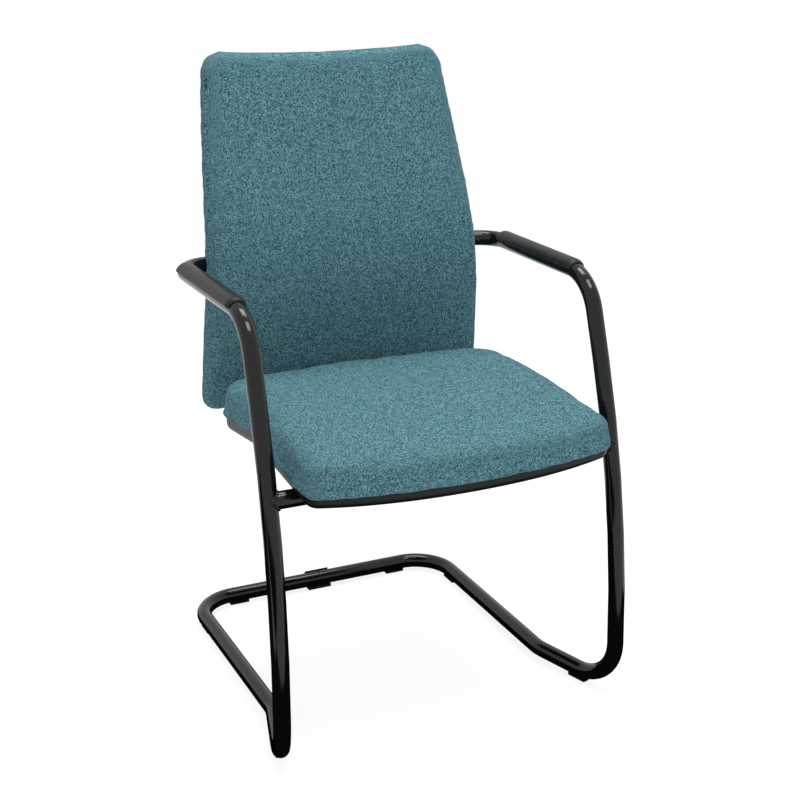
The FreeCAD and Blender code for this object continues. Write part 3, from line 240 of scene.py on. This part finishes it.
# %% Grained black plastic
plastic_black, tree, shader = new_finish(
    "grained_black_plastic", (0.006, 0.006, 0.0063), roughness=0.5, ior=1.35)
grain = object_pattern(tree, "ShaderNodeTexVoronoi", scale=1600)
add_bump(tree, shader, grain.outputs["Distance"], distance=0.00005, strength=0.6)
shade = between(tree, grain.outputs["Distance"], 0.38, 0.5)
tree.links.new(shade, shader.inputs["Roughness"])

# %% [markdown]
# ### Teal melange cloth
#
# The cloth is a plain weave of a thick yarn, spun from light and dark teal wool. Where the warp
# lies on top, a short upright dash shows, and where the weft does, a lying one. Each dash has
# its own shade. The pattern follows the cloth's own coordinates, which every cushion carries, so
# the threads go round its edges as real cloth does.

# %% Teal melange cloth
# Threads are spaced by their pitch, a dash is DASH pitches long, and each thread's dashes start
# up to START_SPREAD pitches along it.
WARP_PITCH = 0.0010
WEFT_PITCH = 0.0015
DASH = 1.7
START_SPREAD = 9
THREAD_RELIEF = 0.00035


def feed(tree, node, values):
    """Give a node its inputs in order. Each value is a number or the output of another node."""
    for socket, value in zip(node.inputs, values):
        if isinstance(value, (int, float)):
            socket.default_value = value
        else:
            tree.links.new(value, socket)


def calc(tree, operation, *values):
    """One arithmetic node on numbers or outputs of other nodes."""
    step = tree.nodes.new("ShaderNodeMath")
    step.operation = operation
    feed(tree, step, values)
    return step.outputs[0]


def chance(tree, first, second, third):
    """A random number from 0 to 1 for each triple of whole numbers."""
    place = tree.nodes.new("ShaderNodeCombineXYZ")
    feed(tree, place, (first, second, third))
    noise = tree.nodes.new("ShaderNodeTexWhiteNoise")
    noise.noise_dimensions = "3D"
    tree.links.new(place.outputs[0], noise.inputs["Vector"])
    return noise.outputs["Value"]


def dash_number(tree, distance, start):
    """Which dash of a thread lies at a distance along it, for a random start from 0 to 1."""
    shift = calc(tree, "MULTIPLY", start, START_SPREAD)
    return calc(tree, "FLOOR", calc(tree, "DIVIDE", calc(tree, "ADD", distance, shift), DASH))


def hump(tree, place):
    """A thread's rounded top: sin(pi * fraction of a pitch)."""
    return calc(tree, "SINE", calc(tree, "MULTIPLY", calc(tree, "FRACT", place), math.pi))


cloth, tree, shader = new_finish("teal_melange_cloth", (0.085, 0.238, 0.287), roughness=0.92)
shader.inputs["Specular IOR Level"].default_value = 0.15
woven = tree.nodes.new("ShaderNodeAttribute")
woven.attribute_name = "cloth_place"
split = tree.nodes.new("ShaderNodeSeparateXYZ")
tree.links.new(woven.outputs["Vector"], split.inputs[0])
across = calc(tree, "DIVIDE", split.outputs[0], WARP_PITCH)
along = calc(tree, "DIVIDE", split.outputs[1], WEFT_PITCH)
warp_number = calc(tree, "FLOOR", across)
weft_number = calc(tree, "FLOOR", along)
on_top = calc(tree, "PINGPONG", calc(tree, "ADD", warp_number, weft_number), 1)
warp_dash = dash_number(tree, along, chance(tree, warp_number, 0, 5))
weft_dash = dash_number(tree, across, chance(tree, 0, weft_number, 7))
warp_shade = chance(tree, warp_number, warp_dash, 11)
weft_shade = chance(tree, weft_dash, weft_number, 13)
shown = tree.nodes.new("ShaderNodeMix")
tree.links.new(on_top, shown.inputs[0])
tree.links.new(warp_shade, shown.inputs[2])
tree.links.new(weft_shade, shown.inputs[3])
ramp = tree.nodes.new("ShaderNodeValToRGB")
CLOTH_SHADES = [
    (0.0, (0.008, 0.040, 0.055)),
    (0.30, (0.030, 0.105, 0.135)),
    (0.60, (0.092, 0.225, 0.262)),
    (1.0, (0.230, 0.420, 0.465)),
]
for number, (position, shade) in enumerate(CLOTH_SHADES):
    stop = ramp.color_ramp.elements[number] if number < 2 else ramp.color_ramp.elements.new(position)
    stop.position = position
    stop.color = (*shade, 1)
tree.links.new(shown.outputs[0], ramp.inputs["Fac"])
tree.links.new(ramp.outputs["Color"], shader.inputs["Base Color"])
relief = calc(tree, "MULTIPLY", hump(tree, across), hump(tree, along))
add_bump(tree, shader, relief, distance=THREAD_RELIEF, strength=0.6)

# %% [markdown]
# ### Plywood and zinc plated steel
#
# Boards, screws and nuts are hidden inside, but a reader who opens the model finds them finished.

# %% Plywood
plywood, tree, shader = new_finish("beech_plywood", (0.55, 0.38, 0.22), roughness=0.55)
rings = object_pattern(tree, "ShaderNodeTexNoise", scale=14, detail=6, distortion=1.2)
stretch = tree.nodes.new("ShaderNodeMapping")
stretch.inputs["Scale"].default_value = (14, 1, 1)
tree.links.new(tree.nodes["Texture Coordinate"].outputs["Object"], stretch.inputs["Vector"])
tree.links.new(stretch.outputs["Vector"], rings.inputs["Vector"])
ramp = tree.nodes.new("ShaderNodeValToRGB")
ramp.color_ramp.elements[0].color = (0.42, 0.27, 0.14, 1)
ramp.color_ramp.elements[1].color = (0.66, 0.48, 0.30, 1)
tree.links.new(rings.outputs["Fac"], ramp.inputs["Fac"])
tree.links.new(ramp.outputs["Color"], shader.inputs["Base Color"])

# %% Zinc plated steel
zinc, tree, shader = new_finish("zinc_plated_steel", (0.62, 0.62, 0.64), roughness=0.3)
shader.inputs["Metallic"].default_value = 1
crystals = object_pattern(tree, "ShaderNodeTexNoise", scale=900, detail=3)
shade = between(tree, crystals.outputs["Fac"], 0.24, 0.42)
tree.links.new(shade, shader.inputs["Roughness"])

# %% Give every construction piece the finish of its slot
FINISHES = {
    "frame_black": tube_black,
    "plastic_black": plastic_black,
    "fabric_teal": cloth,
    "plywood": plywood,
    "zinc_steel": zinc,
}
for entry in frame["record"]["subparts"]:
    part = nodes[entry["node"]]
    part.data.materials.clear()
    part.data.materials.append(FINISHES[entry["material_slot"]])

# %% [markdown]
# ## The bent tube
#
# Each half of the frame is one 25 mm steel tube, bent cold on a machine: half of the rear floor
# bar, the side of the floor loop, the foot, the leg with its long curve, the arm, and half of the
# bar behind the back. So it is drawn as it is made, a ring carried along runs and bends. The two
# halves are mirror images and meet in a hairline seam on the middle line.

# %% Frame halves
TUBE_RADIUS = 0.0125
SEAM = 0.00025
FLOOR_AXIS = 0.0165
ARM_AXIS = 0.641
FRAME_CORNERS = [
    (SEAM, 0.294, FLOOR_AXIS),
    (0.230, 0.294, FLOOR_AXIS),
    (0.2275, -0.095, FLOOR_AXIS),
    (0.271, -0.2505, FLOOR_AXIS),
    (0.26767, -0.2505, 0.3137),
    (0.264, -0.14415, ARM_AXIS),
    (0.267, 0.153, ARM_AXIS),
    (0.110, 0.1797, ARM_AXIS),
    (SEAM, 0.1797, ARM_AXIS),
]
FRAME_BENDS = [0.068, 0.080, 0.072, 1.4, 0.072, 0.045, 0.100]
SIDES = {"left": 1, "right": -1}
half_path = bent_path(FRAME_CORNERS, FRAME_BENDS)
for side, sense in SIDES.items():
    tube = tube_piece(f"frame_tube_{side}", half_path * (sense, 1, 1), TUBE_RADIUS, tube_black)
    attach(tube, "root")
    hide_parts(f"frame_half_{side}")
print("tube length of one half", np.linalg.norm(np.diff(half_path, axis=0), axis=1).sum())

# %% [markdown]
# ## The bar under the seat
#
# A straight tube joins the legs. Its ends are cut to a saddle that fits round the leg, then
# welded all round. On each side the bar ends where its surface meets the leg's surface: a point
# at the distance u from the leg's middle plane stops at sqrt(r^2 - u^2) from the leg's axis.

# %% Cross bar and its welds
BAR_HEIGHT = 0.404
LEG_LEAN = math.radians(18)
BAR_SIDES = 48
foot_x, foot_y, _ = FRAME_CORNERS[3]
knee_height = FRAME_CORNERS[4][2]
arm_x = FRAME_CORNERS[5][0]
leg_curve = FRAME_BENDS[3]
curve_start = knee_height - leg_curve * math.tan(LEG_LEAN / 2)
climb = math.asin((BAR_HEIGHT - curve_start) / leg_curve)
bar_y = foot_y + leg_curve * (1 - math.cos(climb))
bar_leg_x = foot_x - (foot_x - arm_x) * (BAR_HEIGHT - FLOOR_AXIS) / (ARM_AXIS - FLOOR_AXIS)


def saddle(angle, radius):
    """Points where a tube round the x axis meets the left leg, at angles about its axis."""
    back, up = radius * np.cos(angle), radius * np.sin(angle)
    aside = back * math.cos(climb) - up * math.sin(climb)
    reach = bar_leg_x - np.sqrt(np.maximum(TUBE_RADIUS ** 2 - aside ** 2, 0))
    return np.stack([reach, bar_y + back, BAR_HEIGHT + up], axis=-1)


left_end = saddle(np.linspace(0, 2 * math.pi, BAR_SIDES, endpoint=False), TUBE_RADIUS)
right_end = left_end * (-1, 1, 1)
hubs = np.array([(-bar_leg_x, bar_y, BAR_HEIGHT), (bar_leg_x, bar_y, BAR_HEIGHT)])
points = np.concatenate([right_end, left_end, hubs])
faces = list(grid_faces(2, BAR_SIDES))
after = np.roll(np.arange(BAR_SIDES), -1)
right_hub, left_hub = 2 * BAR_SIDES, 2 * BAR_SIDES + 1
faces += [(right_hub, b, a) for a, b in enumerate(after)]
faces += [(left_hub, BAR_SIDES + a, BAR_SIDES + b) for a, b in enumerate(after)]
bar = make_piece("seat_bar_tube", points, faces, tube_black)
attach(bar, "root")
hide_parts("seat_crossbar")
print("bar under the seat", 2 * bar_leg_x, "between the legs' axes")


# %% Weld beads
def loop_piece(name, loop, radius, material, sides=12):
    """A round bead along a closed loop of points; radius may differ from point to point."""
    tangent = np.roll(loop, -1, axis=0) - np.roll(loop, 1, axis=0)
    tangent /= np.linalg.norm(tangent, axis=1, keepdims=True)
    normal = np.array([1.0, 0, 0]) - tangent[:, :1] * tangent
    normal /= np.linalg.norm(normal, axis=1, keepdims=True)
    side = np.cross(tangent, normal)
    turn = np.linspace(0, 2 * math.pi, sides, endpoint=False)[None, :, None]
    circle = np.cos(turn) * normal[:, None] + np.sin(turn) * side[:, None]
    rings = loop[:, None] + np.asarray(radius).reshape(-1, 1, 1) * circle
    rings = np.concatenate([rings, rings[:1]])
    faces = grid_faces(len(rings), sides) % (len(loop) * sides)
    return make_piece(name, rings[:-1], faces, material)


BEAD_RADIUS = 0.0019
BEAD_LIFT = 0.0002
RIPPLE_HEIGHT = 0.00022
RIPPLES = 34
around = np.linspace(0, 2 * math.pi, 180, endpoint=False)
ripple = BEAD_RADIUS + RIPPLE_HEIGHT * np.sin(RIPPLES * around)
for side, sense in SIDES.items():
    seam = saddle(sense * around, TUBE_RADIUS + BEAD_LIFT) * (sense, 1, 1)
    bead = loop_piece(f"bar_weld_{side}", seam, ripple, tube_black)
    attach(bead, "root")

# %% [markdown]
# ## Arm pads
#
# Each pad is a moulded cap of 4.2 mm plastic that sits on the upper half of the arm and leaves
# the underside of the tube bare. Both its ends reach a little way round the bends and run out
# into the tube with a round nose. The surface is an arc over the tube, carried along the arm,
# and its radius shrinks to the tube's like a quarter ellipse towards both ends.


# %% Sizes of the pad and its helpers
def distance_along(path):
    """Distance from the start of a path to each of its points."""
    return np.concatenate([[0], np.cumsum(np.linalg.norm(np.diff(path, axis=0), axis=1))])


def walk(path, distances):
    """Points of a path at distances along it."""
    reached = distance_along(path)
    return np.stack([np.interp(distances, reached, path[:, axis]) for axis in range(3)], axis=-1)


def nose(distance, length):
    """Share of the full wall at a distance from its edge: a quarter ellipse, from 0 to 1."""
    return np.sqrt(1 - (1 - np.clip(distance / length, 0, 1)) ** 2)


PAD_INSIDE = TUBE_RADIUS + 0.0001
PAD_WALL = 0.0042
PAD_EDGE = 0.004
PAD_FRONT = 0.014
PAD_REAR = 0.009
PAD_NOSE = 0.008
PAD_LIP = 0.0004
EDGE_ROUND = 0.0014
EDGE_SHARE = 0.45
NOSE_ROWS = 15
MIDDLE_ROWS = 90
ARC_POINTS = 41


# %% Arm pads
def arm_pad(name, sense):
    """Outer and inner face of the cap, joined at its lower edges and at both ends.

    Each row is an arc over the tube, from one lower edge to the other. Its wall is
    lip + (wall - lip) * nose(distance from the end) * thinned(distance from the lower edge),
    where thinned grows from EDGE_SHARE to 1."""
    arm_path = bent_path(FRAME_CORNERS[4:8], FRAME_BENDS[4:6], step=math.radians(1)) * (sense, 1, 1)
    level = np.flatnonzero(np.abs(arm_path[:, 2] - ARM_AXIS) < 1e-7)
    run_start, run_end = distance_along(arm_path)[level[:2]]
    start, end = run_start - PAD_FRONT, run_end + PAD_REAR
    ease = PAD_NOSE * (1 - np.cos(np.linspace(0, math.pi / 2, NOSE_ROWS)))
    middle = np.linspace(start + PAD_NOSE, end - PAD_NOSE, MIDDLE_ROWS)[1:-1]
    rows = np.concatenate([start + ease, middle, end - ease[::-1]])
    place = walk(arm_path, rows)[:, None]
    heading = np.gradient(walk(arm_path, rows), axis=0)[:, None]
    heading /= np.linalg.norm(heading, axis=-1, keepdims=True)
    out = np.cross(heading, (0, 0, 1.0))
    out /= np.linalg.norm(out, axis=-1, keepdims=True)
    up = np.cross(out, heading)
    share = (1 - np.cos(np.linspace(0, math.pi, ARC_POINTS)))[None, :] / 2

    def face(radius):
        low = np.arcsin(PAD_EDGE / radius)
        angle = (math.pi - low - share * (math.pi - 2 * low))[..., None]
        return place + radius[..., None] * (np.cos(angle) * out + np.sin(angle) * up)

    from_end = np.minimum(rows - start, end - rows)[:, None]
    from_edge = np.minimum(share, 1 - share) * math.pi * PAD_INSIDE
    thinned = EDGE_SHARE + (1 - EDGE_SHARE) * nose(from_edge, EDGE_ROUND)
    wall = PAD_LIP + (PAD_WALL - PAD_LIP) * nose(from_end, PAD_NOSE) * thinned
    outer = face(PAD_INSIDE + wall)
    inner = face(np.full_like(wall, PAD_INSIDE))
    shell = np.concatenate([outer, inner[:, ::-1]], axis=1)
    count, columns = shell.shape[:2]
    faces = list(grid_faces(count, columns))
    left = np.arange(columns // 2 - 1)
    for row, flip in ((0, False), (count - 1, True)):
        first = row * columns
        strip = np.stack([first + left, first + columns - 1 - left,
                          first + columns - 2 - left, first + left + 1], axis=-1)
        faces += list(strip[:, ::-1] if flip else strip)
    return make_piece(name, shell, faces, plastic_black, smooth_angle=50)


for side, sense in SIDES.items():
    pad = arm_pad(f"arm_pad_shell_{side}", sense)
    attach(pad, "root")
    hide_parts(f"arm_pad_{side}")
    print(pad.name, len(pad.data.polygons), "faces")

# %% [markdown]
# ## Cushions
#
# Seat and backrest are moulded foam with the cloth drawn tight over it, so their forms are crisp
# and the edges are round. Each one starts from its construction solid, which is covered with an
# even net of points, made a few millimetres smaller, and then inflated as cloth. How far a point
# may move is limited, and faces that lie against wood don't move.


# %% Points and normals of a mesh
def mesh_points(mesh):
    """All points of a mesh as one array."""
    flat = np.empty(len(mesh.vertices) * 3)
    mesh.vertices.foreach_get("co", flat)
    return flat.reshape(-1, 3)


def set_points(mesh, points):
    """Move all points of a mesh."""
    mesh.vertices.foreach_set("co", points.ravel())
    mesh.update()


def vertex_normals(mesh):
    """The outward unit vectors at all points of a mesh."""
    flat = np.empty(len(mesh.vertices) * 3)
    mesh.vertex_normals.foreach_get("vector", flat)
    return flat.reshape(-1, 3)


def bake(piece):
    """Replace the mesh by what its modifiers make of it, and remove them."""
    shown = piece.evaluated_get(bpy.context.evaluated_depsgraph_get())
    mesh = bpy.data.meshes.new_from_object(shown)
    piece.modifiers.clear()
    piece.data = mesh


# %% Cover a construction solid with an even net
MERGE_DISTANCE = 0.00002
NET_CELL = 0.006
EVEN_SHARE = 0.5
EVEN_ROUNDS = 3


def even_net(name, source):
    """A closed net of even cells in the form of a construction solid."""
    piece = bpy.data.objects.new(name, nodes[source].data.copy())
    scene.collection.objects.link(piece)
    weld = piece.modifiers.new("merge", "WELD")
    weld.merge_threshold = MERGE_DISTANCE
    net = piece.modifiers.new("net", "REMESH")
    net.mode = "VOXEL"
    net.voxel_size = NET_CELL
    even = piece.modifiers.new("even", "SMOOTH")
    even.factor = EVEN_SHARE
    even.iterations = EVEN_ROUNDS
    bake(piece)
    return piece


# %% Inflate a net as cloth
FIXED_BELOW = -0.35
FREE_SPAN = 0.5
PRESSURE = 4
CLOTH_QUALITY = 5
CLOTH_FRAMES = 20


def freedom(outward, free_side):
    """How freely points move, from 0 where they face the wood to 1 on the open side.

    It is the smooth step 3 s^2 - 2 s^3, where s grows with the cosine between a point's outward
    direction and the open side."""
    facing = outward @ np.array(free_side, float)
    share = np.clip((facing - FIXED_BELOW) / FREE_SPAN, 0, 1)
    return (share * share * (3 - 2 * share))[:, None]


def inflate(piece, start):
    """How far each point moves from its start when air presses on the cloth from inside."""
    sim = piece.modifiers.new("cloth", "CLOTH")
    sim.settings.use_pressure = True
    sim.settings.uniform_pressure_force = PRESSURE
    sim.settings.effector_weights.gravity = 0
    sim.settings.quality = CLOTH_QUALITY
    for number in range(1, CLOTH_FRAMES + 1):
        scene.frame_set(number)
    shown = piece.evaluated_get(bpy.context.evaluated_depsgraph_get())
    moved = mesh_points(shown.data) - start
    piece.modifiers.clear()
    scene.frame_set(1)
    return moved


# %% Make a cushion
def cushion(name, source, free_side, smaller, cap):
    """A padded piece from a construction solid. free_side is the direction of its open face."""
    piece = even_net(name, source)
    mesh = piece.data
    outward = vertex_normals(mesh)
    share = freedom(outward, free_side)
    start = mesh_points(mesh) - outward * share * smaller
    set_points(mesh, start)
    moved = inflate(piece, start)
    length = np.linalg.norm(moved, axis=1, keepdims=True)
    moved *= np.minimum(1, cap / np.maximum(length, 1e-9)) * share
    set_points(mesh, start + moved)
    print(name, "moved by up to", float(np.linalg.norm(moved, axis=1).max()))
    finer = piece.modifiers.new("finer", "SUBSURF")
    finer.levels = 1
    finer.render_levels = 1
    bake(piece)
    piece.data.shade_smooth()
    piece.data.materials.clear()
    piece.data.materials.append(cloth)
    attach(piece, "root")
    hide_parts(source)
    print(name, len(piece.data.polygons), "faces")
    return piece


# %% Cloth coordinates
def lay_cloth(piece, free_side):
    """Stores where on the flat cloth each point lies.

    Seen from the open side, a point has its two plain coordinates. On the sides, the cloth goes
    on outwards by as much as it has dropped below the open face: plain + outward * drop."""
    points = mesh_points(piece.data)
    outward = vertex_normals(piece.data)
    depth_axis = int(np.argmax(np.abs(free_side)))
    plain_axes = [axis for axis in (0, 1, 2) if axis != depth_axis]
    depth = points[:, depth_axis] * free_side[depth_axis]
    drop = depth.max() - depth
    flat = points[:, plain_axes] + outward[:, plain_axes] * drop[:, None]
    places = np.zeros_like(points)
    places[:, :2] = flat
    layer = piece.data.attributes.new("cloth_place", "FLOAT_VECTOR", "POINT")
    layer.data.foreach_set("vector", places.ravel())


# %% Seat, backrest and rear of the backrest
for name, source, free_side, smaller, cap in (
        ("seat_upholstery", "seat_cushion", (0, 0, 1), 0.003, 0.005),
        ("back_upholstery", "back_cushion", (0, -1, 0), 0.003, 0.005),
        ("back_rear_upholstery", "back_rear_cover", (0, 1, 0), 0.002, 0.003)):
    lay_cloth(cushion(name, source, free_side, smaller, cap), free_side)

# %% [markdown]
# ## Floor, surroundings and lamps
#
# The chair stands on a plain white floor. Camera and mirror-like rays see white surroundings.
# Two long panels under the ceiling give most of the light, and their mirror images are the
# pair of bright windows in each arm's front bend.


# %% Floor
def flat_sheet(name, low, high, height, material):
    """A level rectangle between two corners."""
    sheet_mesh = bpy.data.meshes.new(name)
    (x0, y0), (x1, y1) = low, high
    ring = [(x, y, height) for x, y in ((x0, y0), (x1, y0), (x1, y1), (x0, y1))]
    sheet_mesh.from_pydata(ring, [], [(0, 1, 2, 3)])
    sheet_mesh.materials.append(material)
    sheet = bpy.data.objects.new(name, sheet_mesh)
    scene.collection.objects.link(sheet)
    return sheet


def split_rays(tree, lighting, seen, output):
    """One shader for the rays that light things, and another for what the eye sees.

    The eye sees by camera, mirror-like and transmitted rays."""
    ray = tree.nodes.new("ShaderNodeLightPath")
    either = calc(tree, "MAXIMUM", ray.outputs["Is Camera Ray"], ray.outputs["Is Glossy Ray"])
    pick = tree.nodes.new("ShaderNodeMixShader")
    tree.links.new(
        calc(tree, "MAXIMUM", either, ray.outputs["Is Transmission Ray"]), pick.inputs["Fac"])
    tree.links.new(lighting.outputs[0], pick.inputs[1])
    tree.links.new(seen.outputs[0], pick.inputs[2])
    tree.links.new(pick.outputs[0], tree.nodes[output].inputs["Surface"])


FLOOR_HALF = 3
FLOOR_GLOW = 0.86
FLOOR_SHADOW = 0.28
floor_white, tree, shader = new_finish("floor_white", (1, 1, 1), roughness=0.9)
shader.inputs["Specular IOR Level"].default_value = 0
glow = tree.nodes.new("ShaderNodeEmission")
glow.inputs["Strength"].default_value = FLOOR_GLOW
faint = tree.nodes.new("ShaderNodeBsdfDiffuse")
faint.inputs["Color"].default_value = (FLOOR_SHADOW, FLOOR_SHADOW, FLOOR_SHADOW, 1)
both = tree.nodes.new("ShaderNodeAddShader")
tree.links.new(glow.outputs[0], both.inputs[0])
tree.links.new(faint.outputs[0], both.inputs[1])
split_rays(tree, shader, both, "Material Output")
floor = flat_sheet(
    "floor", (-FLOOR_HALF, -FLOOR_HALF), (FLOOR_HALF, FLOOR_HALF), 0, floor_white)

# %% [markdown]
# Three dark cards on the floor show only in mirror-like reflections. Two lie beside the chair,
# on the sitter's right, and turn one half of each leg black, with a light streak from the slit
# between them. The third stands for the chair's own shadow round the floor tubes.

# %% Dark cards
CARD_HEIGHT = 0.0005
card_black, tree, shader = new_finish("card_black", (0, 0, 0), roughness=1)
shader.inputs["Specular IOR Level"].default_value = 0


def dark_card(name, low, high):
    """A black card between two corners on the floor, which only glossy rays can see."""
    card = flat_sheet(name, low, high, CARD_HEIGHT, card_black)
    for kind in ("camera", "diffuse", "transmission", "shadow", "volume_scatter"):
        setattr(card, "visible_" + kind, False)


dark_card("front_card", (-3, -3), (-0.75, -0.55))
dark_card("side_card", (-3, -0.25), (-0.75, 0.6))
dark_card("middle_card", (-0.75, -0.6), (0.7, 0.45))

# %% Surroundings
SOFT_LIGHT = 0.56
world = bpy.data.worlds.new("studio")
world.use_nodes = True
scene.world = world
tree = world.node_tree
seen = tree.nodes["Background"]
seen.inputs["Color"].default_value = (1, 1, 1, 1)
soft = tree.nodes.new("ShaderNodeBackground")
soft.inputs["Color"].default_value = (1, 1, 1, 1)
soft.inputs["Strength"].default_value = SOFT_LIGHT
split_rays(tree, soft, seen, "World Output")

# %% Lamps
PANEL_HEIGHT = 3.6
PANEL_ASIDE = 0.35
PANEL_LENGTH = 1.9
PANEL_DEPTH = 1.05
PANEL_POWER = 50


def ceiling_panel(name, back):
    """A rectangular lamp that faces straight down, at a distance behind the chair's middle."""
    lamp_data = bpy.data.lights.new(name, "AREA")
    lamp_data.shape = "RECTANGLE"
    lamp_data.size = PANEL_LENGTH
    lamp_data.size_y = PANEL_DEPTH
    lamp_data.energy = PANEL_POWER
    lamp = bpy.data.objects.new(name, lamp_data)
    lamp.location = (PANEL_ASIDE, back, PANEL_HEIGHT)
    scene.collection.objects.link(lamp)
    print(name, "at", tuple(lamp.location))


ceiling_panel("rear_panel", 0.75)
ceiling_panel("front_panel", -1.05)

# %% Settings
scene.view_settings.view_transform = "Standard"
